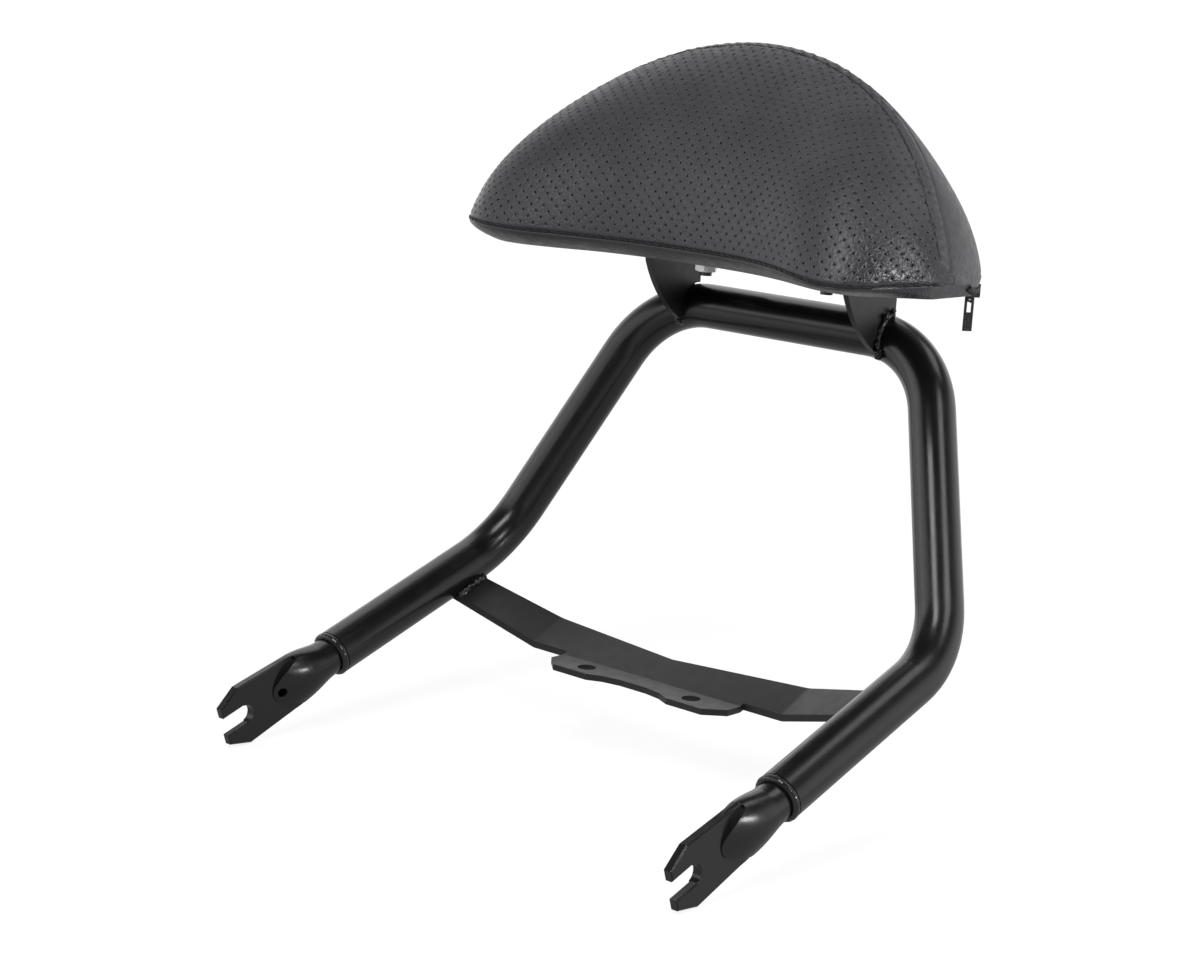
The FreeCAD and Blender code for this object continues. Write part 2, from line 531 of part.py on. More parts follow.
def make_bracket(tube_outside):
    """Right pad bracket: a folded angle whose web is notched over the crossbar."""
    body = doc.addObject("PartDesign::Body", "bracket_body")
    angle = new_sketch(body, "XZ_Plane", "angle_profile")
    angle.AttachmentOffset.Base = Vector(0, 0, -number("bracket_front"))
    draw(angle, [
        ("web_inner", "web_low"), ("web_outer", "web_low"), ("web_outer", "pad_seat"),
        ("bracket_inner", "pad_seat"), ("bracket_inner", "bracket_under"), ("web_inner", "bracket_under")])
    pad_sketch(body, angle, "angle", "Sizes.bracket_rear - Sizes.bracket_front", reverse=True)
    along = Vector(0, 1, 0)
    inside = Vector(number("web_inner"), 0, number("bracket_under"))
    outside = Vector(number("web_outer"), 0, number("pad_seat"))
    round_fold(body, "fold_inside", "Sizes.bracket_fold", (inside, along))
    round_fold(body, "fold_outside", "Sizes.bracket_fold + Sizes.bracket_sheet", (outside, along))
    front = Vector(number("bracket_inner"), number("bracket_front"), 0)
    rear = Vector(number("bracket_inner"), number("bracket_rear"), 0)
    round_fold(body, "flange_corners", "Sizes.flange_corner", (front, Vector(0, 0, 1)), (rear, Vector(0, 0, 1)))
    side = new_sketch(body, "YZ_Plane", "web_outline")
    trim_outside(side, [
        ("bracket_front", "pad_seat"), ("bracket_front", "web_front_z"), ("web_tip_y", "web_tip_z"),
        ("notch_y", "notch_z"), ("bracket_rear", "notch_rear_z"), ("bracket_rear", "pad_seat")],
        {1: ("web_front_radius", 1), 3: ("tube_r", -1)})
    pocket_through(body, side, "web_trim")
    bolt_hole = make("Part::Cylinder", "bracket_bolt_hole", Radius="Sizes.bracket_hole / 2",
                     Height="4 * Sizes.bracket_sheet", Placement__Base__x="Sizes.bolt_half",
                     Placement__Base__y="Sizes.bolt_y",
                     Placement__Base__z="Sizes.bracket_under - Sizes.bracket_sheet")
    bracket = cut_all("right_pad_bracket", body, [bolt_hole, tube_outside])
    ring = make("Part::Torus", "bracket_bead_ring", Radius1="Sizes.tube_r", Radius2="Sizes.bracket_bead",
                Angle3="190 - Sizes.notch_start - 60", Placement__Base__x="Sizes.web_outer",
                Placement__Base__y="Sizes.upper_y", Placement__Base__z="Sizes.upper_z")
    ring.Placement.Rotation = Rotation(Vector(1, 1, 1), 120).multiply(Rotation(Vector(0, 0, 1), 95))
    bead = cut_all("right_bracket_weld", ring, [tube_outside, bracket])
    return bracket, bead


def pad_form(name, layer):
    """Half-moon pad form: a loft through upright sections from the left tip to the right tip."""
    order = list(PAD_SECTIONS)
    stations = [("-", key) for key in reversed(order[1:])] + [("", key) for key in order]
    sections = []
    for sign, station in stations:
        key = f"{layer}_{station}"
        side = "left" if sign else "right"
        sketch = doc.addObject("Sketcher::SketchObject", f"{key}_{side}_section")
        sketch.Placement.Rotation = Rotation(Vector(1, 1, 1), 120)
        bind(sketch, Placement__Base__x=cell(f"{sign}{key}_x"))
        draw(sketch, [
            (f"{key}_rear_low", f"{key}_low"), (f"{key}_front_low", f"{key}_low"), (f"{key}_front", f"{key}_edge"),
            (f"{key}_top_y", f"{key}_top_z"), (f"{key}_rear", f"{key}_edge")],
            {2: (f"{key}_front_r", -1), 3: (f"{key}_rear_r", -1)})
        sections.append(sketch)
    loft = doc.addObject("Part::Loft", name)
    loft.Sections = sections
    loft.Solid = True
    return loft


def block(name, low, high):
    """Box between two corners given as expressions."""
    sizes = {f"Placement__Base__{axis}": text for axis, text in zip("xyz", low)}
    spans = {span: f"({top}) - ({bottom})" for span, top, bottom in zip(("Length", "Width", "Height"), high, low)}
    return make("Part::Box", name, **sizes, **spans)


def make_pad():
    """Cover panels, foam and board, all cut from the same two pad forms."""
    skin = pad_form("pad_skin", "skin")
    core = pad_form("pad_core", "core")
    shell = boolean("Part::Cut", "cover_shell", skin, core)
    span, deep = "2 * Sizes.pad_half", "3 * Sizes.pad_half"
    skirt = block("skirt_block", (f"-{span}", f"-{deep}", "Sizes.pad_seat - 50"), (span, deep, "Sizes.pad_edge"))
    lean = "Sizes.pad_lean * 1 deg"
    ahead = make("Part::Box", "front_block", Length=f"2 * {span}", Width=deep, Height=f"2 * {deep}",
                 Placement__Base__x=f"-{span}",
                 Placement__Base__y=f"Sizes.seam_y - {deep} * (cos({lean}) + sin({lean}))",
                 Placement__Base__z=f"Sizes.pad_edge + {deep} * (sin({lean}) - cos({lean}))")
    ahead.Placement.Rotation = Rotation(Vector(1, 0, 0), -number("pad_lean"))
    bolt_holes = []
    for name, sign in (("right", ""), ("left", "-")):
        bolt_holes.append(make(
            "Part::Cylinder", f"{name}_bolt_way", Radius="Sizes.bolt_r + Sizes.bolt_gap", Height="Sizes.pad_skirt * 6",
            Placement__Base__x=cell(sign + "bolt_half"), Placement__Base__y="Sizes.bolt_y",
            Placement__Base__z="Sizes.board_top - Sizes.pad_skirt * 6"))
    bottom = boolean("Part::Common", "bottom_panel", shell, skirt)
    upper = boolean("Part::Cut", "upper_panels", shell, skirt)
    front = boolean("Part::Common", "front_cover", upper, ahead)
    back = boolean("Part::Cut", "back_cover", upper, ahead)
    slab = block("board_block", (f"-{span}", f"-{deep}", "Sizes.pad_seat"), (span, deep, "Sizes.board_top"))
    board = cut_all("pad_board", boolean("Part::Common", "board_blank", core, slab), bolt_holes)
    bottom_cover = cut_all("bottom_cover", bottom, bolt_holes)
    heads = []
    for name, sign in (("right", ""), ("left", "-")):
        heads.append(make(
            "Part::Cylinder", f"{name}_head_room", Radius="Sizes.bolt_head / 2 + Sizes.bolt_gap",
            Height="Sizes.bolt_head_height + Sizes.bolt_gap", Placement__Base__x=cell(sign + "bolt_half"),
            Placement__Base__y="Sizes.bolt_y", Placement__Base__z="Sizes.board_top"))
    foam = cut_all("pad_foam", boolean("Part::Cut", "foam_blank", core, slab), heads)
    return skin, [front, back, bottom_cover, board, foam]


def make_fasteners():
    """Two bolts out of the board, each with a washer and a hexagon nut under its bracket."""
    at = {"Placement__Base__x": "Sizes.bolt_half", "Placement__Base__y": "Sizes.bolt_y"}
    shank = make("Part::Cylinder", "bolt_shank", Radius="Sizes.bolt_r", Height="Sizes.bolt_length",
                 Placement__Base__z="Sizes.board_top - Sizes.bolt_length", **at)
    head = make("Part::Cylinder", "bolt_head_blank", Radius="Sizes.bolt_head / 2", Height="Sizes.bolt_head_height",
                Placement__Base__z="Sizes.board_top", **at)
    bolt = boolean("Part::Fuse", "bolt", shank, head)
    hexagon = make("Part::Prism", "nut_blank", Circumradius="Sizes.nut_flats / 2 / cos(30 deg)",
                   Height="Sizes.nut_height", Placement__Base__z="Sizes.nut_top - Sizes.nut_height", **at)
    hexagon.Polygon = 6
    crown = make("Part::Cone", "nut_crown", Radius1="Sizes.nut_flats * 0.48", Radius2="Sizes.nut_flats * 1.2",
                 Height="Sizes.nut_height", Placement__Base__z="Sizes.nut_top - Sizes.nut_height", **at)
    nut = boolean("Part::Cut", "nut", boolean("Part::Common", "nut_outside", hexagon, crown), shank)
    disc = make("Part::Cylinder", "washer_blank", Radius="Sizes.washer_od / 2", Height="Sizes.washer_sheet",
                Placement__Base__z="Sizes.nut_top", **at)
    hole = make("Part::Cylinder", "washer_hole", Radius="Sizes.bolt_r + Sizes.bolt_gap", Height="Sizes.washer_sheet",
                Placement__Base__z="Sizes.nut_top", **at)
    washer = boolean("Part::Cut", "washer", disc, hole)
    return [group("Part::Compound", name, [right, mirrored(f"left_{right.Name}", right)])
            for name, right in (("pad_bolts", bolt), ("pad_washers", washer), ("pad_nuts", nut))]


def zip_path(skin):
    """Line of the zip round the pad's lower rear edge, from the right end to the left."""
    ring = skin.Shape.slice(Vector(0, 0, 1), number("zip_z"))[0]
    half, tip = number("pad_half"), number("bolt_y") - number("tip_ahead")
    rear = Part.makeBox(4 * half, 4 * half, 10, Vector(-2 * half, tip + 12, number("zip_z") - 5))
    edges = Part.__sortEdges__(ring.common(rear).Edges)
    return Part.Wire(edges)


def zip_frame(path):
    """Placement at the slider: X along the zip, Y out of the pad and Z up."""
    points = path.discretize(400)
    wanted = number("pad_half") - number("slider_from_tip")
    place = min(range(1, len(points) - 1), key=lambda count: abs(points[count].x - wanted))
    along = (points[place + 1] - points[place - 1]).normalize()
    out = Vector(0, 0, 1).cross(along)
    if out.y < 0:
        along, out = along * -1, out * -1
    turn = FreeCAD.Matrix(along.x, out.x, 0, 0, along.y, out.y, 0, 0, 0, 0, 1, 0, 0, 0, 0, 1)
    return FreeCAD.Placement(points[place], FreeCAD.Placement(turn).Rotation)


def centred_block(name, length, width, low, height):
    """Box centred on the Z axis, with its sizes bound."""
    return make("Part::Box", name, Length=length, Width=width, Height=height,
                Placement__Base__x=f"-({length}) / 2", Placement__Base__y=f"-({width}) / 2", Placement__Base__z=low)


def make_slider(frame, skin, rib):
    """Slider saddled on the chain, with a crown below that holds the pull."""
    saddle = make("Part::Box", "slider_saddle", Length="Sizes.slider_length", Width="2 * Sizes.slider_out",
                  Height="Sizes.slider_up + Sizes.slider_down", Placement__Base__x="-Sizes.slider_length / 2",
                  Placement__Base__y="-Sizes.slider_out", Placement__Base__z="-Sizes.slider_down")
    legs = []
    for name, sign in (("front", "-"), ("rear", "")):
        leg = make("Part::Box", f"crown_{name}_leg", Length="Sizes.crown_wire", Width="Sizes.crown_width",
                   Height="Sizes.crown_drop + Sizes.crown_wire - Sizes.slider_down",
                   Placement__Base__x=f"{sign}Sizes.crown_half - Sizes.crown_wire / 2",
                   Placement__Base__y="-Sizes.crown_width / 2",
                   Placement__Base__z="-Sizes.crown_drop - Sizes.crown_wire")
        legs.append(leg)
    bridge = centred_block("crown_bridge", "2 * Sizes.crown_half", "Sizes.crown_width",
                           "-Sizes.crown_drop - Sizes.crown_wire", "Sizes.crown_wire")
    blank = group("Part::MultiFuse", "slider_blank", [saddle, bridge] + legs)
    blank.Placement = frame
    return cut_all("zip_slider", blank, [skin, rib])


def make_zip(skin):
    """Zip chain on the cover, its slider near the right end and the pull that swings on the slider."""
    path = doc.addObject("Part::Feature", "zip_path")
    path.Shape = zip_path(skin)
    edge = path.Shape.OrderedEdges[0]
    ring = make("Part::Circle", "zip_ring", Radius="Sizes.zip_rib")
    ring.Placement = FreeCAD.Placement(
        path.Shape.OrderedVertexes[0].Point, Rotation(Vector(0, 0, 1), edge.tangentAt(edge.FirstParameter)))
    rib = doc.addObject("Part::Sweep", "zip_rib_sweep")
    rib.Sections = [ring]
    rib.Spine = (path, [f"Edge{count}" for count in range(1, len(path.Shape.Edges) + 1)])
    rib.Solid = True
    chain = boolean("Part::Cut", "zip_chain", rib, skin)
    frame = zip_frame(path.Shape)
    slider = make_slider(frame, skin, rib)
    arms = centred_block("pull_blank", "Sizes.pull_sheet", "Sizes.pull_width",
                         "-Sizes.pivot_drop - Sizes.pull_length", "Sizes.pull_length")
    slot = centred_block("pull_slot_block", "2 * Sizes.pull_sheet", "Sizes.pull_slot_width",
                         "-Sizes.pivot_drop - Sizes.pull_slot", "Sizes.pull_slot")
    bar = make("Part::Cylinder", "pull_bar", Radius="Sizes.pull_sheet / 2", Height="Sizes.pull_width",
               Placement__Base__y="-Sizes.pull_width / 2", Placement__Base__z="-Sizes.pivot_drop")
    bar.Placement.Rotation = Rotation(Vector(1, 0, 0), -90)
    pull = boolean("Part::Fuse", "zip_pull", boolean("Part::Cut", "pull_tab", arms, slot), bar)
    pull.Placement = frame
    return [chain, slider, pull]


tube_outside, frame_tube = make_tube()
fork_end, fork_weld = make_fork_end()
strap, strap_weld = make_strap(tube_outside)
bracket, bracket_weld = make_bracket(tube_outside)
pad_skin, pad_pieces = make_pad()
fasteners = make_fasteners()
doc.recompute()
zip_pieces = make_zip(pad_skin)
doc.recompute()

nodes = [frame_tube, fork_end, mirrored("left_fork_end", fork_end), strap, bracket,
         mirrored("left_pad_bracket", bracket)]
nodes += [group("Part::Compound", name, [right, mirrored("left_" + right.Name[6:], right)])
          for name, right in (("fork_welds", fork_weld), ("strap_welds", strap_weld),
                              ("bracket_welds", bracket_weld))]
nodes += pad_pieces + fasteners + zip_pieces
doc.recompute()

for item in doc.Objects:
    if "Invalid" in item.State or "Error" in item.State:
        raise RuntimeError(f"{item.Label} is {item.State}")
for node in nodes:
    if node.Shape.isNull() or not node.Shape.isValid() or not node.Shape.Solids:
        raise RuntimeError(f"{node.Label} has no valid solid")
    node.Shape.exportStep(f"parts/{node.Label}.step")
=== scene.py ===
"""Looks of the passenger backrest: painted steel, weld beads, a stitched and perforated pad cover, its zip.

Metres. X points right, Y to the rear and Z up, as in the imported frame.
"""
import functools
import math

import bmesh
import bpy
import numpy as np
from mathutils import Matrix, Vector, noise


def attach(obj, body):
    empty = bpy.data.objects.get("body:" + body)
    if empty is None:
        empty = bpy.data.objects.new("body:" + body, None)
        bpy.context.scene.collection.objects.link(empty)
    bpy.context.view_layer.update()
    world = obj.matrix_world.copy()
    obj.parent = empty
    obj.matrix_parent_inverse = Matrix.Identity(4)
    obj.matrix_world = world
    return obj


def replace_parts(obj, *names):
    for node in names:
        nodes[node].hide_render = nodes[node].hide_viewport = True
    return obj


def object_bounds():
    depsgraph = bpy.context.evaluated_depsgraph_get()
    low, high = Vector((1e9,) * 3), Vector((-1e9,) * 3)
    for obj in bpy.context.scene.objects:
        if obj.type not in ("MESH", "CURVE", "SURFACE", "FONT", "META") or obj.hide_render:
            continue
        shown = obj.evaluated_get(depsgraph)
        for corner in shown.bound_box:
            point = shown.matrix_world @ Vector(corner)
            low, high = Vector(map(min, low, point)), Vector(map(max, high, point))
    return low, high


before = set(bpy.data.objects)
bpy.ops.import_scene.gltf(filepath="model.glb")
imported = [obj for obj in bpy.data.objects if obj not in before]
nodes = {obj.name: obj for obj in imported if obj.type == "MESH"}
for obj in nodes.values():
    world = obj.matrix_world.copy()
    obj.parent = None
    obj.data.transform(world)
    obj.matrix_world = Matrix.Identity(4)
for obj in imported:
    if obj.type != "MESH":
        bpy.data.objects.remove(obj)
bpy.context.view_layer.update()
MM = 0.001

# Pad form in millimetres, as the solids have it
PAD_HALF, PAD_RISE, PAD_LEAN = 136.2, 102.5, math.radians(24.6)
PAD_SEAT, PAD_SKIRT, PAD_TUCK, FRONT_TUCK = 197.5, 8.5, 5.5, 20.0
BOLT_Y, SEAM_AHEAD, FRONT_MID, FRONT_CORNER = 75.2, 58.2, 73.1, 93.3
TIP_AHEAD, REAR_BEHIND, FRONT_BULGE, REAR_BULGE = 38.2, 20.2, 0.13, 0.181
PAD_EDGE = PAD_SEAT + PAD_SKIRT
PAD_ARC = (PAD_HALF ** 2 + PAD_RISE ** 2) / (2 * PAD_RISE)
# Share of the half width, then how far the front edge has gone to its corner and on to the tip, the rear edge
# to the tip, and the underside up to the seam
PAD_STATIONS = ((0.0, 0.0, 0.0, 0.0, 0.0), (0.45, 0.55, 0.0, 0.04, 0.010), (0.78, 1.0, 0.0, 0.2, 0.013),
                (0.93, 1.0, 0.35, 0.5, 0.06), (0.985, 1.0, 0.55, 0.83, 0.45), (1.0, 1.0, 0.6, 0.97, 0.85))
# How far the rounded tips reach past the last section, and the angles of their rings
TIP_CAP, TIP_CAP_DROP, TIP_CAP_ANGLES = 2.4, 0.6, (30, 55, 75, 90)

# Cover, in millimetres
PERF_ACROSS, PERF_UP = 6.3, 5.9
PERF_RADIUS, PERF_LIP, PERF_RISE, PERF_DEPTH, PERF_SIDES = 0.28, 0.74, 0.17, 0.3, 8
# Perforations keep clear of the seams by this much, and of the tips by this many columns
PERF_CLEAR, PERF_EDGE_COLUMNS = 0.8, 5
COVER_SHEET = 0.9
SEAM_DIP, SEAM_REACH, SEAM_ROLL = 0.4, 1.3, 2.6
# Way in and up that the cloth's rolled edge takes at the lower seam
ROLL_IN, ROLL_UP = 0.75, 0.65
SEAM_BEHIND, SEAM_BEHIND_TIP, FOLD_WIDTH, FOLD_WIDTH_TIP, RIDGE_ROUND = 4.0, 9.9, 8.5, 6.5, 7.0
# Share of the half width past which the tips begin
TIP_FROM = 0.88
# Shares of a full groove at the lower seam and at the seam behind the ridge
GROOVE_LOW, GROOVE_RIDGE = 0.4, 0.8
# Height and reach of the gathers at the ridge seam, of the line pulled in by the topstitch, and of the fold
GATHER_HEIGHT, GATHER_REACH = 0.12, 2.6
STITCHED_DIP, STITCHED_REACH = 0.4, 1.0
FOLD_HEIGHT, FOLD_REACH = 0.25, 2.4
# Puckers: where their middle is, how far they reach along and up, and the heights of broad and sharp ones
PUCKER_AT, PUCKER_WIDE, PUCKER_UP, PUCKER_BROAD, PUCKER_SHARP = 122.0, 28.0, 12.0, 0.8, 0.45
STITCH_PITCH, STITCH_LENGTH, STITCH_RADIUS = 4.6, 3.7, 0.46
# How far the stitches stand proud, how far up the lower seam they run, and how much each one leans
STITCH_PROUD, STITCH_UP, STITCH_LEAN = 0.1, 0.9, 0.12
# Lines along the pad stop this far short of the tips; points of a stitch line; room the topstitch needs
LINE_END, LINE_POINTS, FOLD_ROOM = 1.5, 400, 2.0
# Zip coil: place up the skirt, pitch, wire radius, and the coil's middle and half sizes
ZIP_SHARE, COIL_PITCH, COIL_WIRE = 0.28, 1.35, 0.5
COIL_OUT, COIL_DEEP, COIL_TALL = 0.5, 0.8, 1.35
COIL_SIDES, COIL_STEPS, ZIP_POINTS = 5, 10, 420
# Half the length over which the coil's way is taken, how far out it surely faces back, its lean out and down
COIL_TANGENT, COIL_TURNED, COIL_LEAN = 0.5, 100, (0.85, -0.5)
# The lower seam sags at the right corner and climbs a little at the left one: where, how wide, how far down
SEAM_SAGS = ((109.0, 24.0, 3.8), (-112.0, 24.0, -1.6))

# Camera solved from the photograph
CAMERA_PLACE = (0.7196, -0.8748, 0.3212)
CAMERA_RIGHT = (0.7488, 0.6597, 0.0631)
CAMERA_UP = (-0.1754, 0.1055, 0.9788)
CAMERA_LENS, CAMERA_SENSOR = 74.35, 36.0

# Studio: the way to the bright side, then lamps as place, target, size and power
BRIGHT_SIDE = (-0.6, 0.8, 0.0)
OBJECT_MIDDLE, FORK_MIDDLE = (0.0, 0.02, 0.12), (0.137, -0.1, 0.0)
LAMPS = {
    "front_left": ((-0.88, -1.09, 0.56), OBJECT_MIDDLE, (1.5, 0.7), 3.4),
    "front": ((0.185, -0.93, 1.12), OBJECT_MIDDLE, (0.42, 1.0), 9.5),
    "right": ((1.07, -0.06, 0.97), OBJECT_MIDDLE, (0.42, 0.6), 2.8),
    "low_right": ((0.58, -0.16, 0.39), FORK_MIDDLE, (0.12, 0.12), 0.7),
    "far_right": ((0.99, 0.16, 0.15), FORK_MIDDLE, (0.09, 0.14), 2.3),
    "rear_left": ((-0.87, 0.76, 1.23), OBJECT_MIDDLE, (1.2, 1.0), 4.6),
    "overhead": ((0.475, 0.70, 1.40), OBJECT_MIDDLE, (0.7, 0.5), 2.2),
}
FLOOR_HALF, FLOOR_GAP, FLOOR_GREY = 40.0, 0.0006, (0.22, 0.22, 0.22, 1)
# Surroundings: from and to which height, then to which side, and the light at both ends
WORLD_FADE, WORLD_SIDE = (0.28, 0.60, 1.0, 0.18), (-0.6, 0.3, 0.14, 1.2)
# Share of the surroundings' light that matt surfaces lose
MATT_LOSS = 0.4


def link(obj):
    """Put a new object in the scene."""
    bpy.context.scene.collection.objects.link(obj)
    return obj


def mesh_object(name, points, faces, material, smooth=True):
    """Mesh object from points in millimetres."""
    mesh = bpy.data.meshes.new(name)
    mesh.from_pydata([tuple(c * MM for c in point) for point in points], [], faces)
    mesh.validate()
    mesh.materials.append(material)
    for polygon in mesh.polygons:
        polygon.use_smooth = smooth
    return link(bpy.data.objects.new(name, mesh))


def body_piece(obj, body="backrest"):
    """A piece of the object: it rides on a body."""
    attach(obj, body)
    return obj


# Materials


class Nodes:
    """Small helper that adds shader nodes and joins them."""

    def __init__(self, owner, shader, place):
        owner.use_nodes = True
        self.owner = owner
        self.tree = owner.node_tree
        self.shader = self.tree.nodes[shader]
        self.place = self.add("ShaderNodeTexCoord").outputs[place]

    def add(self, kind, inputs=None, **settings):
        node = self.tree.nodes.new(kind)
        for key, value in settings.items():
            setattr(node, key, value)
        for key, value in (inputs or {}).items():
            self.join(value, node.inputs[key])
        return node

    def join(self, value, socket):
        if isinstance(value, bpy.types.NodeSocket):
            self.tree.links.new(value, socket)
        else:
            socket.default_value = value

    def noise(self, scale, detail):
        inputs = {"Vector": self.place, "Scale": scale, "Detail": detail}
        return self.add("ShaderNodeTexNoise", inputs).outputs["Fac"]

    def voronoi(self, scale, feature):
        node = self.add("ShaderNodeTexVoronoi", {"Vector": self.place, "Scale": scale}, feature=feature)
        return node.outputs["Distance"]

    def vector_value(self, kind, first, second=None):
        inputs = {0: first} if second is None else {0: first, 1: second}
        return self.add("ShaderNodeVectorMath", inputs, operation=kind).outputs["Value"]

    def spread(self, value, low, high, to_low=0.0, to_high=1.0, blend="LINEAR"):
        inputs = {"Value": value, "From Min": low, "From Max": high, "To Min": to_low, "To Max": to_high}
        return self.add("ShaderNodeMapRange", inputs, interpolation_type=blend).outputs["Result"]

    def mix(self, share, first, second):
        node = self.add("ShaderNodeMix", data_type="RGBA")
        self.join(share, node.inputs["Factor"])
        self.join(first, node.inputs[6])
        self.join(second, node.inputs[7])
        return node.outputs[2]

    def math(self, kind, first, second):
        node = self.add("ShaderNodeMath", operation=kind)
        self.join(first, node.inputs[0])
        self.join(second, node.inputs[1])
        return node.outputs[0]

    def bump(self, height, strength, distance, normal=None):
        inputs = {"Height": height, "Strength": strength, "Distance": distance}
        if normal is not None:
            inputs["Normal"] = normal
        return self.add("ShaderNodeBump", inputs).outputs["Normal"]

    def surface(self, **sockets):
        for key, value in sockets.items():
            self.join(value, self.shader.inputs[key.replace("_", " ")])
        return self.owner


def material_nodes(name):
    """Nodes of a new material, placed in the object's own coordinates."""
    return Nodes(bpy.data.materials.new(name), "Principled BSDF", "Object")


def paint(name, dark, light, rough_low, rough_high, peel):
    """Black paint with faint orange peel, dust-fine speckle and uneven gloss."""
    n = material_nodes(name)
    cloud = n.noise(60.0, 3.0)
    speck = n.spread(n.noise(2600.0, 1.0), 0.62, 0.75)
    colour = n.mix(n.math("MULTIPLY", speck, 0.35), n.mix(cloud, dark, light), (0.02, 0.02, 0.021, 1))
    rough = n.spread(n.noise(140.0, 3.0), 0.3, 0.7, rough_low, rough_high)
    normal = n.bump(n.noise(900.0, 2.0), peel, 0.0004)
    return n.surface(Base_Color=colour, Roughness=rough, Normal=normal, Specular_IOR_Level=0.5)


# Middle of the glossier vinyl at the right lower corner; the left one mirrors it
GLOSSY_CORNER = (0.124, 0.008, 0.212)


def vinyl(name):
    """Charcoal vinyl with a pebbled grain, fine creases darkened with painted shade, and uneven sheen,
    glossier at the lower corners.
    """
    n = material_nodes(name)
    pebble = n.voronoi(900.0, "SMOOTH_F1")
    crease = n.voronoi(420.0, "DISTANCE_TO_EDGE")
    cloud = n.noise(45.0, 4.0)
    colour = n.mix(n.spread(cloud, 0.3, 0.7), (0.038, 0.038, 0.043, 1), (0.052, 0.052, 0.058, 1))
    # Painted shade: the colour is darkened in the grain's creases, where the bump dents the surface
    colour = n.mix(n.spread(crease, 0.0, 0.12, 0.35, 0.0), colour, (0.018, 0.018, 0.02, 1))
    rough = n.spread(n.noise(260.0, 3.0), 0.3, 0.7, 0.40, 0.54)
    side = n.add("ShaderNodeVectorMath", {0: n.place}, operation="ABSOLUTE").outputs[0]
    far = n.vector_value("DISTANCE", side, GLOSSY_CORNER)
    rough = n.math("MULTIPLY", rough, n.spread(far, 0.006, 0.026, 0.4, 1.0))
    grain = n.bump(pebble, 0.22, 0.0006)
    normal = n.bump(n.spread(crease, 0.0, 0.1), 0.2, 0.0004, grain)
    return n.surface(Base_Color=colour, Roughness=rough, Normal=normal, Specular_IOR_Level=0.5)


def plain(name, dark, light, scale, roughness, metallic=0.0, bump=0.0):
    """Simple two-tone material with a noise bump."""
    n = material_nodes(name)
    cloud = n.noise(scale, 4.0)
    rough = n.spread(n.noise(scale * 2.3, 3.0), 0.3, 0.7, roughness * 0.85, roughness * 1.15)
    n.surface(Base_Color=n.mix(n.spread(cloud, 0.3, 0.7), dark, light), Roughness=rough, Metallic=metallic)
    if bump:
        n.surface(Normal=n.bump(cloud, bump, 0.0005))
    return n.owner


TUBE_PAINT = paint("tube_paint", (0.006, 0.006, 0.0063, 1), (0.009, 0.009, 0.0095, 1), 0.20, 0.27, 0.04)
SHEET_PAINT = paint("sheet_paint", (0.012, 0.012, 0.0135, 1), (0.017, 0.017, 0.019, 1), 0.36, 0.46, 0.08)
WELD_PAINT = paint("weld_paint", (0.012, 0.012, 0.013, 1), (0.020, 0.020, 0.021, 1), 0.10, 0.18, 0.10)
VINYL = vinyl("charcoal_vinyl")
THREAD = plain("black_thread", (0.006, 0.006, 0.007, 1), (0.018, 0.018, 0.02, 1), 2500.0, 0.7, bump=0.5)
ZINC = plain("zinc_plate", (0.62, 0.63, 0.64, 1), (0.78, 0.78, 0.75, 1), 300.0, 0.32, 1.0, 0.05)
STEEL_DARK = plain("dark_thread_steel", (0.05, 0.05, 0.05, 1), (0.12, 0.12, 0.12, 1), 600.0, 0.4, 1.0)
NYLON = plain("zip_nylon", (0.012, 0.012, 0.013, 1), (0.022, 0.022, 0.024, 1), 800.0, 0.42)
ENAMEL = plain("zip_enamel", (0.012, 0.012, 0.013, 1), (0.03, 0.03, 0.032, 1), 500.0, 0.28, bump=0.05)
PLYWOOD = plain("plywood", (0.42, 0.30, 0.17, 1), (0.55, 0.42, 0.27, 1), 120.0, 0.7, bump=0.2)
FOAM = plain("foam", (0.05, 0.05, 0.05, 1), (0.09, 0.09, 0.09, 1), 900.0, 0.9, bump=0.6)


# Lines and rings


def run_along(points):
    """Length along a line of points, 0 at its start."""
    return np.concatenate(([0.0], np.cumsum(np.linalg.norm(np.diff(np.array(points), axis=0), axis=1))))


def ring_faces(ring_count, sides):
    """Faces between rings of points that follow each other."""
    faces = []
    for ring in range(ring_count - 1):
        for count in range(sides):
            first = ring * sides + count
            after = ring * sides + (count + 1) % sides
            faces.append([first, after, after + sides, first + sides])
    return faces


def end_faces(point_count, sides):
    """The two faces that close a run of rings."""
    return [list(range(sides))[::-1], list(range(point_count - sides, point_count))]


# Pad form


def natural_spline(places, values):
    """Smooth curve through values, as the solids' lofts run through their sections."""
    places, values = np.array(places), np.array(values)
    count, gaps = len(places), np.diff(places)
    system, right = np.eye(count), np.zeros(count)
    for row in range(1, count - 1):
        system[row, row - 1:row + 2] = gaps[row - 1], 2 * (gaps[row - 1] + gaps[row]), gaps[row]
        rises = np.diff(values[row - 1:row + 2]) / gaps[row - 1:row + 1]
        right[row] = 6 * (rises[1] - rises[0])
    bends = np.linalg.solve(system, right)

    def curve(place):
        low = int(np.clip(np.searchsorted(places, place) - 1, 0, count - 2))
        ahead, behind, gap = places[low + 1] - place, place - places[low], gaps[low]
        return ((bends[low] * ahead ** 3 + bends[low + 1] * behind ** 3) / (6 * gap)
                + (values[low] / gap - bends[low] * gap / 6) * ahead
                + (values[low + 1] / gap - bends[low + 1] * gap / 6) * behind)

    return curve


def station_curves():
    """The four station columns as curves over the share of the half width, the same on both sides."""
    right = [tuple(row) for row in PAD_STATIONS]
    left = [(-row[0],) + row[1:] for row in reversed(right[1:])]
    columns = list(zip(*(left + right)))
    return [natural_spline(columns[0], column) for column in columns[1:]]


TO_CORNER, TO_TIP, TO_REAR, TO_LIFT = station_curves()


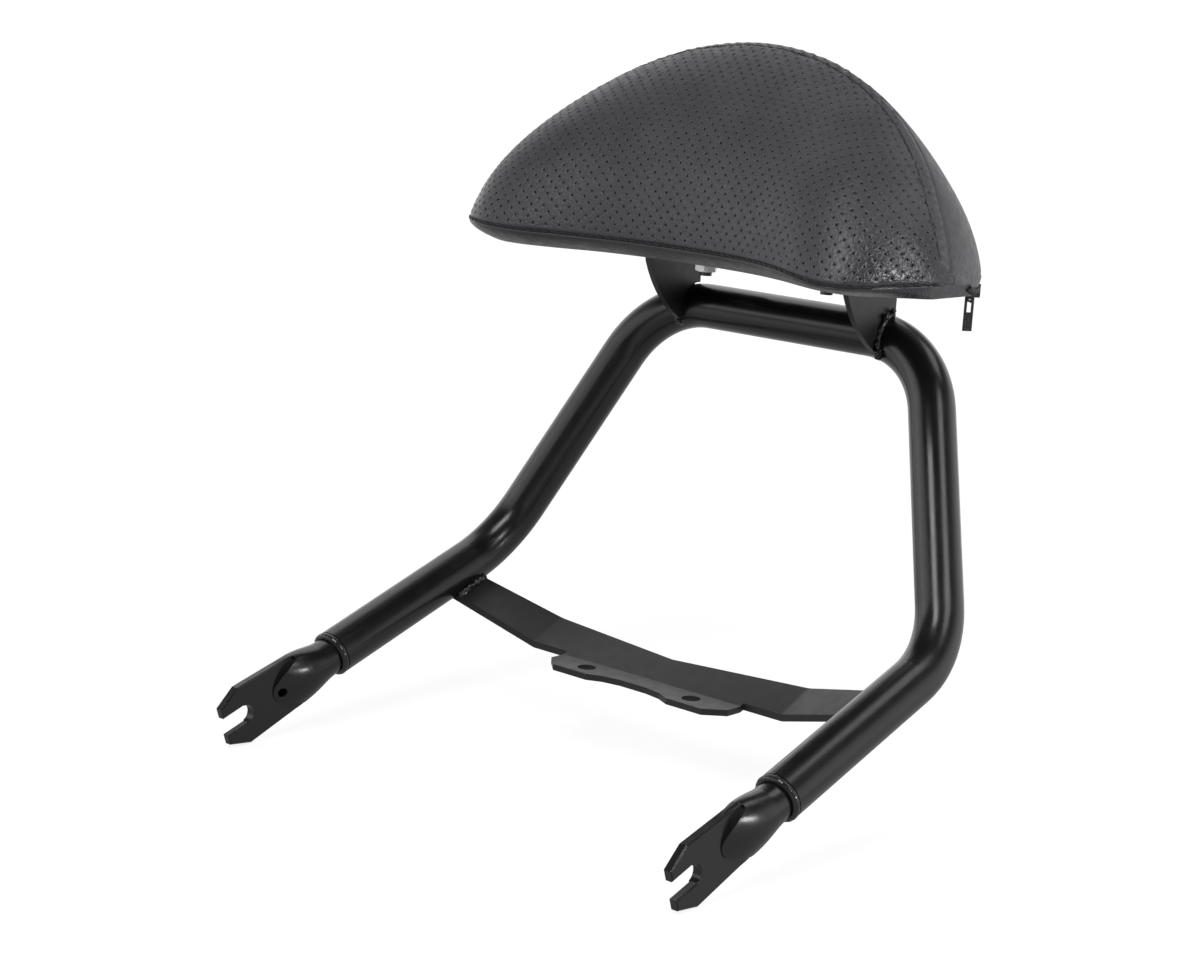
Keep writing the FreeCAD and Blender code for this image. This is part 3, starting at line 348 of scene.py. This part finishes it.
def section(x):
    """Pad section at x: lower front edge, lower rear edge, underside, and the ridge as (y, z)."""
    share = max(-1.0, min(1.0, x / PAD_HALF))
    height = math.sqrt(max(PAD_ARC ** 2 - x * x, 0.0)) - (PAD_ARC - PAD_RISE)
    front = BOLT_Y - FRONT_MID - (FRONT_CORNER - FRONT_MID) * TO_CORNER(share)
    front += (FRONT_CORNER - TIP_AHEAD) * TO_TIP(share)
    rear = BOLT_Y + REAR_BEHIND - (REAR_BEHIND + TIP_AHEAD) * TO_REAR(share)
    low = PAD_SEAT + PAD_SKIRT * max(TO_LIFT(share), 0.0)
    ridge_y = BOLT_Y - SEAM_AHEAD + height * math.sin(PAD_LEAN)
    ridge_z = PAD_EDGE + 1 + height * math.cos(PAD_LEAN)
    return front, rear, low, (ridge_y, ridge_z)


def front_edge(x):
    """Height of the lower front seam at x."""
    return PAD_EDGE - sum(sag * math.exp(-((x - place) / wide) ** 2) for place, wide, sag in SEAM_SAGS)


def arc_point(first, last, bulge, share):
    """Point on the arc from first to last that bulges to its left, with its length."""
    first, last = np.array(first), np.array(last)
    chord = last - first
    span = np.linalg.norm(chord)
    angle = 4 * math.atan(2 * bulge)
    radius = span / (2 * math.sin(angle / 2))
    turn = (share - 0.5) * angle
    side = np.array((-chord[1], chord[0])) / span
    point = (first + last) / 2 + chord / span * radius * math.sin(turn)
    point = point + side * radius * (math.cos(turn) - math.cos(angle / 2))
    return point, radius * angle


PROFILE_STEPS, PROFILE_POINTS = 60, 241


@functools.lru_cache(maxsize=None)
def profile(x):
    """Front and back of a section as one line, rounded at the ridge: run from the ridge and points (y, z)."""
    front, rear, _, ridge = section(x)
    shares = np.linspace(0.0, 1.0, PROFILE_STEPS + 1)
    rise = [arc_point((front, front_edge(x)), ridge, FRONT_BULGE, share)[0] for share in shares]
    fall = [arc_point(ridge, (rear, PAD_EDGE), REAR_BULGE, share)[0] for share in shares[1:]]
    line = np.array(rise + fall)
    run = run_along(line)
    run -= run[PROFILE_STEPS]
    reach = min(RIDGE_ROUND, -run[0] / 4, run[-1] / 4)
    even = np.linspace(run[0], run[-1], PROFILE_POINTS)
    flat = np.stack([np.interp(even, run, line[:, axis]) for axis in (0, 1)], axis=1)
    weights = np.exp(-((even[:, None] - even[None, :]) / reach) ** 2)
    soft = weights @ flat / weights.sum(axis=1, keepdims=True)
    near = np.exp(-(even / (2.2 * reach)) ** 4)[:, None]
    soft = flat + (soft - flat) * near
    lift = flat[np.argmin(np.abs(even))] - soft[np.argmin(np.abs(even))]
    soft = soft + lift * np.exp(-(even / (4.0 * reach)) ** 2)[:, None]
    return even, soft


def pad_point(x, run):
    """Point on the pad's cover, a set length from the ridge: to the front below 0, to the back above."""
    even, line = profile(x)
    return Vector((x, np.interp(run, even, line[:, 0]), np.interp(run, even, line[:, 1])))


def front_length(x):
    """Length of the perforated panel at x, from the lower seam to the seam behind the ridge."""
    even, _ = profile(x)
    return -even[0] + seam_behind(x)


def seam_behind(x):
    """How far behind the ridge the panels meet: more towards the tips."""
    return SEAM_BEHIND + (SEAM_BEHIND_TIP - SEAM_BEHIND) * near_tip(x)


def near_tip(x):
    """0 over most of the width, rising to 1 at the tips."""
    return max(0.0, (abs(x) / PAD_HALF - TIP_FROM) / (1.0 - TIP_FROM)) ** 1.5


def front_point(x, share):
    """Point on the perforated panel, from the lower seam up and over the ridge."""
    even, _ = profile(x)
    return pad_point(x, even[0] + share * front_length(x))


def back_length(x):
    """Length of the plain back panel at x."""
    return profile(x)[0][-1] - seam_behind(x)


def back_point(x, share):
    """Point on the back panel, from the seam behind the ridge down to the rear seam."""
    return pad_point(x, seam_behind(x) + share * back_length(x))


def surface_normal(point_at, x, share, step=0.004):
    """Outward normal of a panel."""
    wide = min(max(x, -PAD_HALF + 0.6), PAD_HALF - 0.6)
    low, high = max(share - step, 0.0), min(share + step, 1.0)
    across = point_at(wide + 0.5, share) - point_at(wide - 0.5, share)
    up = point_at(wide, high) - point_at(wide, low)
    return across.cross(up).normalized()


# Pad cover


# Share of the height at which the columns are evenly spaced, and how near the seam a row joins it
ROW_SHARE, RIDGE_SNAP = 0.35, 0.6
BACK_ROWS = 44
# Underside: how far it starts inside the seam, the skirt's rows and curve, and rows of the flat
UNDER_GAP, SKIRT_CURVE = 0.1, 1.75
SKIRT_SHARES = (0.06, 0.14, 0.25, 0.4, 0.55, 0.7, 0.85, 0.95)
FLAT_SHARES = (0.03, 0.07, 0.15, 0.3, 0.5, 0.7, 0.85, 0.93, 0.97)
# Points closer than this join, and edges shorter than this go
MERGE_GAP, SHORT_EDGE = 0.02, 0.005


def row_places():
    """Widths x of the front panel's columns, evenly spaced along the cloth at a third of its height."""
    fine = np.linspace(-PAD_HALF, PAD_HALF, 1201)
    run = run_along([front_point(x, ROW_SHARE) for x in fine])
    run -= run[len(run) // 2]
    half_count = int(run[-1] // (PERF_ACROSS / 2))
    wanted = [count * PERF_ACROSS / 2 for count in range(-half_count, half_count + 1)]
    places = list(np.interp(wanted, run, fine))
    return [-PAD_HALF] + places + [PAD_HALF]


def pucker(point, from_seam):
    """Small gathers where the cloth is pulled into a seam near the lower corners, in millimetres."""
    corner = max(0.0, 1.0 - abs(abs(point.x) - PUCKER_AT) / PUCKER_WIDE)
    near = math.exp(-(from_seam / PUCKER_UP) ** 2)
    broad = noise.noise(Vector((point.x * 0.16, point.y * 0.16, point.z * 0.05)))
    sharp = noise.noise(Vector((point.x * 0.45, point.y * 0.45, point.z * 0.18)))
    return corner * near * (PUCKER_BROAD * broad + PUCKER_SHARP * sharp)


def seam_groove(distance):
    """How far cloth dips towards a seam, in millimetres."""
    return SEAM_DIP * math.exp(-(distance / SEAM_REACH) ** 2)


def front_height(x, up, length, point):
    """Front panel's relief: seam grooves, the topstitched fold and gathers."""
    to_seam = max(length - up, 0.0)
    stitched = fold_width(x)
    gather = GATHER_HEIGHT * math.exp(-(to_seam / GATHER_REACH) ** 2)
    gather *= math.sin(2 * math.pi * point.x / STITCH_PITCH)
    height = gather - GROOVE_LOW * seam_groove(up) - GROOVE_RIDGE * seam_groove(to_seam)
    height -= STITCHED_DIP * math.exp(-((to_seam - stitched) / STITCHED_REACH) ** 2)
    height += FOLD_HEIGHT * math.exp(-((to_seam - stitched / 2) / FOLD_REACH) ** 2)
    return height + pucker(point, up)


def fold_width(x):
    """How far in front of the ridge seam the topstitch runs."""
    return FOLD_WIDTH + (FOLD_WIDTH_TIP - FOLD_WIDTH) * near_tip(x)


def front_place(x, up):
    """Point on the dressed front panel, a set length up from the lower seam, and its normal."""
    length = front_length(x)
    share = min(max(up / length, 0.0), 1.0)
    base = front_point(x, share)
    normal = surface_normal(front_point, x, share)
    return base + normal * front_height(x, share * length, length, base), normal


def make_front_panel():
    """Perforated front panel: a grid of small cells in which every second one has a punched hole."""
    columns = cap_sections(row_places())
    lengths = [front_length(x) for x, _ in columns]
    step = PERF_UP / 2
    row_count = int(max(lengths) // step) + 2
    points, faces, index = [], [], {}

    def vertex(key, point):
        if key not in index:
            index[key] = len(points)
            points.append(point)
        return index[key]

    def corner(column, row):
        up = row * step
        if up >= lengths[column] - RIDGE_SNAP:
            return vertex((column, "ridge"), dressed(column, lengths[column])[0])
        return vertex((column, row), dressed(column, up)[0])

    def dressed(column, up):
        x, closing = columns[column]
        place, normal = front_place(x, up)
        return closed_point(place, closing), normal

    def rolled(column, end):
        up = 0.0 if end == "seam" else lengths[column]
        x, closing = columns[column]
        place, normal = front_place(x, up)
        inward = Vector((0, ROLL_IN, ROLL_UP)) if end == "seam" else -normal
        return vertex((column, end, "rolled"), closed_point(place + inward * SEAM_ROLL, closing))

    for column in range(len(columns) - 1):
        for row in range(row_count):
            ring = [corner(column, row), corner(column + 1, row)]
            ring += [corner(column + 1, row + 1), corner(column, row + 1)]
            loop = [place for count, place in enumerate(ring) if place != ring[count - 1]]
            if len(loop) < 3:
                continue
            room = min(lengths[column], lengths[column + 1]) - (row + 1) * step
            inside = PERF_EDGE_COLUMNS < column < len(columns) - PERF_EDGE_COLUMNS - 2
            if (column + row) % 2 or room < PERF_CLEAR or row == 0 or not inside:
                faces.append(loop)
                continue
            x = (columns[column][0] + columns[column + 1][0]) / 2
            middle, normal = front_place(x, (row + 0.5) * step)
            across = (Vector(points[ring[1]]) - Vector(points[ring[0]])).normalized()
            upward = normal.cross(across)
            lip, hole = [], []
            for count in range(PERF_SIDES):
                turn = math.radians(225 + 360 / PERF_SIDES * count)
                ray = across * math.cos(turn) + upward * math.sin(turn)
                proud = middle + ray * PERF_LIP + normal * PERF_RISE
                sunk = middle + ray * PERF_RADIUS - normal * PERF_DEPTH
                lip.append(vertex((column, row, "lip", count), proud))
                hole.append(vertex((column, row, "hole", count), sunk))
            for side in range(4):
                first, second, third = 2 * side, 2 * side + 1, (2 * side + 2) % PERF_SIDES
                faces.append([ring[side], ring[(side + 1) % 4], lip[third], lip[second], lip[first]])
            for count in range(PERF_SIDES):
                after = (count + 1) % PERF_SIDES
                faces.append([lip[count], lip[after], hole[after], hole[count]])
        for end in ("seam", "ridge"):
            row = 0 if end == "seam" else row_count
            edge = [corner(column, row), corner(column + 1, row)]
            tucked = [rolled(column, end), rolled(column + 1, end)]
            loop = [tucked[0], tucked[1], edge[1], edge[0]]
            faces.append(loop if end == "seam" else loop[::-1])
    panel = mesh_object("pad_front_panel", points, faces, VINYL)
    thickness = panel.modifiers.new("sheet", "SOLIDIFY")
    thickness.thickness = COVER_SHEET * MM
    thickness.offset = -1.0
    body_piece(panel)
    return panel


def cap_sections(columns):
    """Columns with the tip's rounded caps: each is x and how far its section has closed to the tip."""
    right = [(PAD_HALF, math.radians(angle)) for angle in TIP_CAP_ANGLES]
    return [(-x, angle) for x, angle in reversed(right)] + [(x, 0.0) for x in columns] + right


def closed_point(point, closing):
    """Draw a point of the tip section in towards the tip's middle."""
    if not closing:
        return point
    side = math.copysign(1.0, point.x)
    front, rear, _, _ = section(point.x)
    middle = Vector((point.x, (front + rear) / 2, PAD_EDGE - TIP_CAP_DROP))
    drawn = middle + (point - middle) * math.cos(closing)
    drawn.x += side * TIP_CAP * math.sin(closing)
    return drawn


def grid_panel(name, columns, rows, place, material):
    """Panel over columns and rows; place gives each point."""
    points = [place(column, row) for column in columns for row in rows]
    count = len(rows)
    faces = []
    for column in range(len(columns) - 1):
        for row in range(count - 1):
            first = column * count + row
            faces.append([first, first + count, first + count + 1, first + 1])
    panel = mesh_object(name, points, faces, material)
    clean = bmesh.new()
    clean.from_mesh(panel.data)
    bmesh.ops.remove_doubles(clean, verts=clean.verts, dist=MERGE_GAP * MM)
    bmesh.ops.dissolve_degenerate(clean, dist=SHORT_EDGE * MM, edges=clean.edges)
    bmesh.ops.recalc_face_normals(clean, faces=clean.faces)
    clean.to_mesh(panel.data)
    clean.free()
    return panel


def even_columns(step=3.0):
    """Widths x for the plain panels, closer together towards the tips."""
    turns = np.linspace(-math.pi / 2, math.pi / 2, int(2 * PAD_HALF / step) + 1)
    return [PAD_HALF * math.sin(turn) for turn in turns]


def make_back_panel():
    """Plain back panel from the seam behind the ridge down to the rear seam, with both edges rolled in."""
    rows = [-1.0] + [count / BACK_ROWS for count in range(BACK_ROWS + 1)] + [2.0]

    def place(column, row):
        x, closing = column
        share = min(max(row, 0.0), 1.0)
        base = back_point(x, share)
        normal = surface_normal(back_point, x, share)
        length = back_length(x)
        height = -GROOVE_RIDGE * seam_groove(share * length) - seam_groove((1 - share) * length)
        point = base + normal * height * math.cos(closing)
        if row < 0:
            point = point - normal * SEAM_ROLL
        if row > 1:
            point = point + Vector((0, -ROLL_IN, ROLL_UP)) * SEAM_ROLL
        return closed_point(point, closing)

    panel = grid_panel("pad_back_panel", cap_sections(even_columns()), rows, place, VINYL)
    body_piece(panel)
    return panel


def underside_outline(x):
    """Underside of a section from the front seam down, under and up to the rear seam, as (y, z) points."""
    front, rear, low, _ = section(x)
    lift = (low - PAD_SEAT) / PAD_SKIRT
    tucks = (FRONT_TUCK * (1 - lift) + PAD_TUCK * lift, PAD_TUCK * (1 - lift))
    sides = []
    for tuck, edge in zip(tucks, (front_edge(x), PAD_EDGE)):
        side = [(SEAM_ROLL * ROLL_IN + UNDER_GAP, edge + SEAM_ROLL * ROLL_UP), (UNDER_GAP, edge)]
        for share in SKIRT_SHARES:
            side.append((tuck * share ** SKIRT_CURVE, edge - (edge - low) * share))
        sides.append(side)
    left, right = front + tucks[0], rear - tucks[1]
    flat = [left + (right - left) * share for share in FLAT_SHARES]
    ahead = [(front + y, z) for y, z in sides[0]]
    back = [(rear - y, z) for y, z in reversed(sides[1])]
    return ahead + [(y, low) for y in flat] + back


def make_bottom_panel():
    """Plain bottom panel: the band below the stitched seam and the flat underside."""
    count = len(underside_outline(0.0))

    def place(column, row):
        x, closing = column
        y, z = underside_outline(x)[row]
        return closed_point(Vector((x, y, z)), closing)

    panel = grid_panel("pad_bottom_panel", cap_sections(even_columns()), list(range(count)), place, VINYL)
    body_piece(panel)
    return panel


def capsule(first, last, radius, sides=6, rings=3):
    """Points and faces of a round-ended stitch."""
    axis = (last - first).normalized()
    side = axis.orthogonal().normalized()
    other = axis.cross(side)
    turns = [math.pi / 2 * count / rings for count in range(1, rings + 1)]
    stops = [(first, -math.cos(turn), math.sin(turn)) for turn in turns]
    stops += [(last, math.cos(turn), math.sin(turn)) for turn in reversed(turns)]
    points = []
    for centre, along, out in stops:
        for count in range(sides):
            turn = 2 * math.pi * count / sides
            ray = side * math.cos(turn) + other * math.sin(turn)
            points.append(centre + axis * along * radius + ray * out * radius)
    return points, ring_faces(len(stops), sides) + end_faces(len(points), sides)


def stitch_line(line):
    """Stitches along a line of (point, normal) pairs: a run of short round-ended threads."""
    run = run_along([point for point, _ in line])
    points, faces = [], []

    def at(length):
        count = int(np.clip(np.searchsorted(run, length) - 1, 0, len(line) - 2))
        share = (length - run[count]) / max(run[count + 1] - run[count], 1e-9)
        return line[count][0].lerp(line[count + 1][0], share), line[count][1]

    length = STITCH_PITCH / 2
    while length < run[-1] - STITCH_PITCH / 2:
        (first, normal), (last, _) = at(length - STITCH_LENGTH / 2), at(length + STITCH_LENGTH / 2)
        across = (last - first).cross(normal).normalized() * STITCH_LEAN * STITCH_LENGTH / 2
        more_points, more_faces = capsule(first - across, last + across, STITCH_RADIUS)
        faces += [[place + len(points) for place in face] for face in more_faces]
        points += more_points
        length += STITCH_PITCH
    return points, faces


def make_stitches():
    """Bottom seam and topstitch threads; the topstitch stops where it would meet the bottom seam."""
    seam, fold = [], []
    for x in np.linspace(-PAD_HALF + LINE_END, PAD_HALF - LINE_END, LINE_POINTS):
        stitched = front_length(x) - fold_width(x)
        for line, up in ((seam, STITCH_UP), (fold, stitched)):
            if line is seam or stitched > FOLD_ROOM:
                place, normal = front_place(x, up)
                line.append((place + normal * STITCH_PROUD, normal))
    for name, line in (("bottom_seam_stitches", seam), ("topstitches", fold)):
        points, faces = stitch_line(line)
        body_piece(mesh_object(name, points, faces, THREAD))


# Zip


def zip_line():
    """Line of the zip along the rear skirt, from right to left."""
    line = []
    for x in np.linspace(PAD_HALF - LINE_END, LINE_END - PAD_HALF, ZIP_POINTS):
        _, rear, low, _ = section(x)
        tuck = PAD_TUCK * (PAD_EDGE - low) / PAD_SKIRT
        line.append(Vector((x, rear - tuck * (1 - ZIP_SHARE), low + (PAD_EDGE - low) * ZIP_SHARE)))
    return line


def make_zip_coil():
    """Nylon coil along the zip line."""
    places = np.array(zip_line())
    run = run_along(places)
    rings = int(run[-1] / COIL_PITCH) * COIL_STEPS + 1
    points = []

    def at(length):
        return Vector([np.interp(length, run, places[:, axis]) for axis in range(3)])

    for count in range(rings):
        length = run[-1] * count / (rings - 1)
        centre = at(length)
        along = (at(length + COIL_TANGENT) - at(length - COIL_TANGENT)).normalized()
        out = along.cross(Vector((0, 0, 1))).normalized()
        if out.y < 0 and abs(centre.x) < COIL_TURNED:
            out = -out
        out = (out * COIL_LEAN[0] + Vector((0, 0, COIL_LEAN[1]))).normalized()
        cross = along.cross(out)
        turn = 2 * math.pi * count / COIL_STEPS
        middle = centre + out * (COIL_OUT + COIL_DEEP * math.cos(turn)) + cross * COIL_TALL * math.sin(turn)
        radial = (out * math.cos(turn) + cross * math.sin(turn)).normalized()
        for side in range(COIL_SIDES):
            angle = 2 * math.pi * side / COIL_SIDES
            points.append(middle + radial * COIL_WIRE * math.cos(angle) + along * COIL_WIRE * math.sin(angle))
    faces = ring_faces(rings, COIL_SIDES) + end_faces(len(points), COIL_SIDES)
    coil = mesh_object("zip_coil", points, faces, NYLON)
    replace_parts(body_piece(coil), "zip_chain")


# Welds


# Points closer than this join, and the size of a bead's cells, both in metres
JOIN_GAP, BEAD_CELL = 0.00001, 0.00035
# Shares of a bead's height in its scallops and lumps, and how fine the lumps are
SCALLOP_SHARE, LUMP_SHARE, LUMP_SCALE = 0.7, 0.8, 0.45


def evaluated_mesh(obj):
    """Mesh of an object with its modifiers applied."""
    view = bpy.context.evaluated_depsgraph_get()
    return bpy.data.meshes.new_from_object(obj.evaluated_get(view))


def make_weld(node, along, pitch, height):
    """Rippled bead that stands for a plain one: scallops along the bead and a little unevenness."""
    name = node.replace("welds", "weld_beads")
    blank = link(bpy.data.objects.new(name + "_blank", nodes[node].data.copy()))
    blank.modifiers.new("join", "WELD").merge_threshold = JOIN_GAP
    remesh = blank.modifiers.new("remesh", "REMESH")
    remesh.voxel_size = BEAD_CELL
    bpy.context.view_layer.update()
    mesh = evaluated_mesh(blank)
    bpy.data.objects.remove(blank)
    mesh.materials.clear()
    mesh.materials.append(WELD_PAINT)
    shifts = []
    for vertex in mesh.vertices:
        place = vertex.co / MM
        scallop = abs(math.sin(math.pi * along(place) / pitch)) - 0.5
        lump = noise.noise(place * LUMP_SCALE)
        shifts.append(vertex.normal * (SCALLOP_SHARE * height * scallop + LUMP_SHARE * height * lump) * MM)
    for vertex, shift in zip(mesh.vertices, shifts):
        vertex.co += shift
    for polygon in mesh.polygons:
        polygon.use_smooth = True
    bead = link(bpy.data.objects.new(name, mesh))
    smooth = bead.modifiers.new("smooth", "SMOOTH")
    smooth.iterations = 3
    smooth.factor = 0.5
    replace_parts(body_piece(bead), node)


ARM_HALF, ARM_SLOPE = 137.0, math.radians(20.0)
MOUTH_Y, MOUTH_Z, TUBE_R = -68.44, -5.23, 11.1
CROSSBAR_Y, CROSSBAR_Z = 96.9, 167.8


def around_arm(place):
    """Length round the arm at its mouth."""
    lift = (place.z - MOUTH_Z) * math.cos(ARM_SLOPE) - (place.y - MOUTH_Y) * math.sin(ARM_SLOPE)
    return TUBE_R * math.atan2(lift, abs(place.x) - ARM_HALF)


def along_strap(place):
    """Length along the strap's width."""
    return place.y


def around_crossbar(place):
    """Length round the crossbar."""
    return TUBE_R * math.atan2(place.z - CROSSBAR_Z, place.y - CROSSBAR_Y)


# Blobs of weld at the bracket tips and beads of spatter: middle, radius, and thickness along x as a share
WELD_BLOBS = (
    ((-60.6, 87.2, 160.2), 2.7, 0.9),
    ((62.0, 85.8, 160.6), 3.0, 0.8),
    ((62.6, 84.0, 165.0), 2.2, 0.7),
    ((63.2, 93.2, 180.6), 1.3, 1.0),
    ((62.4, 88.5, 178.0), 1.7, 0.8),
)
# Broad and fine lumps of a blob, as height and fineness
BLOB_BROAD, BLOB_FINE = (0.28, 1.7), (0.10, 5.0)


def make_weld_blobs():
    """Lumpy ends of the bracket welds."""
    shape = bmesh.new()
    for place, radius, thick in WELD_BLOBS:
        middle = Vector(place)
        made = bmesh.ops.create_icosphere(shape, subdivisions=4, radius=1.0)
        for vertex in made["verts"]:
            ray = vertex.co.normalized()
            swell = 1
            for height, fine in (BLOB_BROAD, BLOB_FINE):
                swell += height * noise.noise(ray * fine + middle)
            vertex.co = (middle + Vector((ray.x * thick, ray.y, ray.z)) * radius * swell) * MM
    mesh = bpy.data.meshes.new("bracket_weld_ends")
    shape.to_mesh(mesh)
    shape.free()
    mesh.materials.append(WELD_PAINT)
    for polygon in mesh.polygons:
        polygon.use_smooth = True
    body_piece(link(bpy.data.objects.new("bracket_weld_ends", mesh)))


# Necks of the fork ends: forward of the tube's mouth, half height and half thickness of the pressed tube
NECK_RINGS = ((0.0, 9.0, 9.0), (8.7, 9.5, 9.0), (26.1, 13.6, 8.3), (36.1, 14.1, 5.2), (43.5, 14.3, 2.45))
# Where the skin starts and ends, how far it stands proud, how far its ends sink, its sheet, and its points
NECK_FROM, NECK_TO, NECK_PROUD, NECK_SINK, NECK_SHEET = 2.5, 21.0, 0.12, 0.5, 0.3
NECK_STEPS, NECK_SIDES = 24, 64


def make_fork_necks():
    """Smooth painted skin over the necks of the fork ends, sunk into the metal at both ends."""
    places, highs, thicks = zip(*NECK_RINGS)
    high, thick = natural_spline(places, highs), natural_spline(places, thicks)
    for side, name in ((1, "right_fork_neck"), (-1, "left_fork_neck")):
        points = []
        for ring in range(NECK_STEPS + 1):
            share = ring / NECK_STEPS
            forward = NECK_FROM + (NECK_TO - NECK_FROM) * share
            proud = NECK_PROUD - NECK_SINK * (2 * share - 1) ** 6
            for count in range(NECK_SIDES):
                turn = 2 * math.pi * count / NECK_SIDES
                x = (thick(forward) + proud) * math.cos(turn)
                z = (high(forward) + proud) * math.sin(turn)
                points.append(Vector((side * (ARM_HALF + x),
                                      MOUTH_Y - forward * math.cos(ARM_SLOPE) - z * math.sin(ARM_SLOPE),
                                      MOUTH_Z - forward * math.sin(ARM_SLOPE) + z * math.cos(ARM_SLOPE))))
        faces = [loop if side > 0 else loop[::-1] for loop in ring_faces(NECK_STEPS + 1, NECK_SIDES)]
        neck = mesh_object(name, points, faces, TUBE_PAINT)
        sheet = neck.modifiers.new("sheet", "SOLIDIFY")
        sheet.thickness = NECK_SHEET * MM
        sheet.offset = -1.0
        body_piece(neck)


# Finishes of the solids


def finish_node(name, material, edge=0.0, angle=30.0):
    """Give a solid its material and, where it has crisp edges, a small rounding."""
    obj = nodes[name]
    obj.data.materials.clear()
    obj.data.materials.append(material)
    if edge:
        obj.modifiers.new("join", "WELD").merge_threshold = JOIN_GAP
        bevel = obj.modifiers.new("edge", "BEVEL")
        bevel.width = edge * MM
        bevel.segments = 2
        bevel.limit_method = "ANGLE"
        bevel.angle_limit = math.radians(angle)
        obj.modifiers.new("shade", "WEIGHTED_NORMAL").keep_sharp = True


def dress():
    """Materials of the solids that stay."""
    finish_node("frame_tube", TUBE_PAINT)
    for side in ("left", "right"):
        finish_node(f"{side}_fork_end", TUBE_PAINT, 0.3, 42.0)
        finish_node(f"{side}_pad_bracket", SHEET_PAINT, 0.35)
    finish_node("mounting_strap", SHEET_PAINT, 0.35)
    finish_node("pad_board", PLYWOOD)
    finish_node("pad_foam", FOAM)
    finish_node("pad_bolts", STEEL_DARK)
    finish_node("pad_washers", ZINC, 0.2)
    finish_node("pad_nuts", ZINC, 0.3)
    finish_node("zip_slider", ENAMEL, 0.15)
    finish_node("zip_pull", ENAMEL, 0.15)


# Stage


def make_floor():
    """Wide pale floor just under the fork tips; it glows more far off, where the lamps don't reach."""
    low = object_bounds()[0][2] - FLOOR_GAP
    mesh = bpy.data.meshes.new("floor")
    corners = [(x * FLOOR_HALF, y * FLOOR_HALF, low) for x, y in ((-1, -1), (1, -1), (1, 1), (-1, 1))]
    mesh.from_pydata(corners, [], [(0, 1, 2, 3)])
    floor = link(bpy.data.objects.new("floor", mesh))
    n = material_nodes("floor_white")
    far = n.vector_value("LENGTH", n.place)
    path = n.add("ShaderNodeLightPath").outputs
    straight = n.math("MULTIPLY", n.spread(far, 0.5, 2.2, 0.86, 1.0), path["Is Camera Ray"])
    side = n.vector_value("DOT_PRODUCT", n.place, BRIGHT_SIDE)
    gloss = n.math("MULTIPLY", n.spread(far, 0.22, 0.75, 0.3, 0.85), path["Is Glossy Ray"])
    gloss = n.math("MULTIPLY", gloss, n.spread(side, -0.9, -0.25, 0.2, 1.0))
    glow = n.math("ADD", straight, gloss)
    mesh.materials.append(n.surface(Base_Color=FLOOR_GREY, Roughness=0.9, Specular_IOR_Level=0.0,
                                    Emission_Color=(1, 1, 1, 1), Emission_Strength=glow))


def make_world():
    """Studio surroundings: a white backdrop to the left and rear, dimmer to the front, right and overhead."""
    n = Nodes(bpy.data.worlds.new("studio"), "Background", "Generated")
    bpy.context.scene.world = n.owner
    up = n.add("ShaderNodeSeparateXYZ", {0: n.place}).outputs["Z"]
    fade = n.spread(up, *WORLD_FADE, blend="SMOOTHSTEP")
    side = n.spread(n.vector_value("DOT_PRODUCT", n.place, BRIGHT_SIDE), *WORLD_SIDE)
    path = n.add("ShaderNodeLightPath").outputs
    kept = n.math("SUBTRACT", 1.0, n.math("MULTIPLY", path["Is Diffuse Ray"], MATT_LOSS))
    glow = n.math("MULTIPLY", n.math("MULTIPLY", fade, side), kept)
    n.surface(Color=(1, 1, 1, 1), Strength=n.math("MAXIMUM", glow, path["Is Camera Ray"]))


def area_light(name, place, target, size, power):
    """Soft rectangular lamp aimed at a point."""
    lamp = bpy.data.lights.new(name, "AREA")
    lamp.shape = "RECTANGLE"
    lamp.size, lamp.size_y = size
    lamp.energy = power
    obj = link(bpy.data.objects.new(name, lamp))
    obj.location = place
    obj.rotation_euler = (Vector(target) - Vector(place)).to_track_quat("-Z", "Y").to_euler()


def make_lights():
    """Plain soft studio lamps round the object, as the tubes' highlights show them."""
    for name, lamp in LAMPS.items():
        area_light(name, *lamp)


def make_camera():
    """Camera at the photograph's viewing angle."""
    camera = bpy.data.cameras.new("camera")
    camera.lens = CAMERA_LENS
    camera.sensor_width = CAMERA_SENSOR
    camera.sensor_fit = "HORIZONTAL"
    obj = link(bpy.data.objects.new("camera", camera))
    right, up = Vector(CAMERA_RIGHT).normalized(), Vector(CAMERA_UP)
    up = (up - right * up.dot(right)).normalized()
    turn = Matrix((right, up, right.cross(up))).transposed()
    obj.matrix_world = Matrix.Translation(CAMERA_PLACE) @ turn.to_4x4()
    bpy.context.scene.camera = obj


front_panel = make_front_panel()
back_panel = make_back_panel()
bottom_panel = make_bottom_panel()
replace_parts(front_panel, "front_cover")
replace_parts(back_panel, "back_cover")
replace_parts(bottom_panel, "bottom_cover")
make_stitches()
make_zip_coil()
make_weld("fork_welds", around_arm, 2.6, 0.12)
make_weld("strap_welds", along_strap, 2.6, 0.8)
make_weld("bracket_welds", around_crossbar, 3.6, 0.6)
make_weld_blobs()
make_fork_necks()
dress()
make_floor()
make_world()
make_lights()
make_camera()
bpy.context.scene.view_settings.view_transform = "Standard"
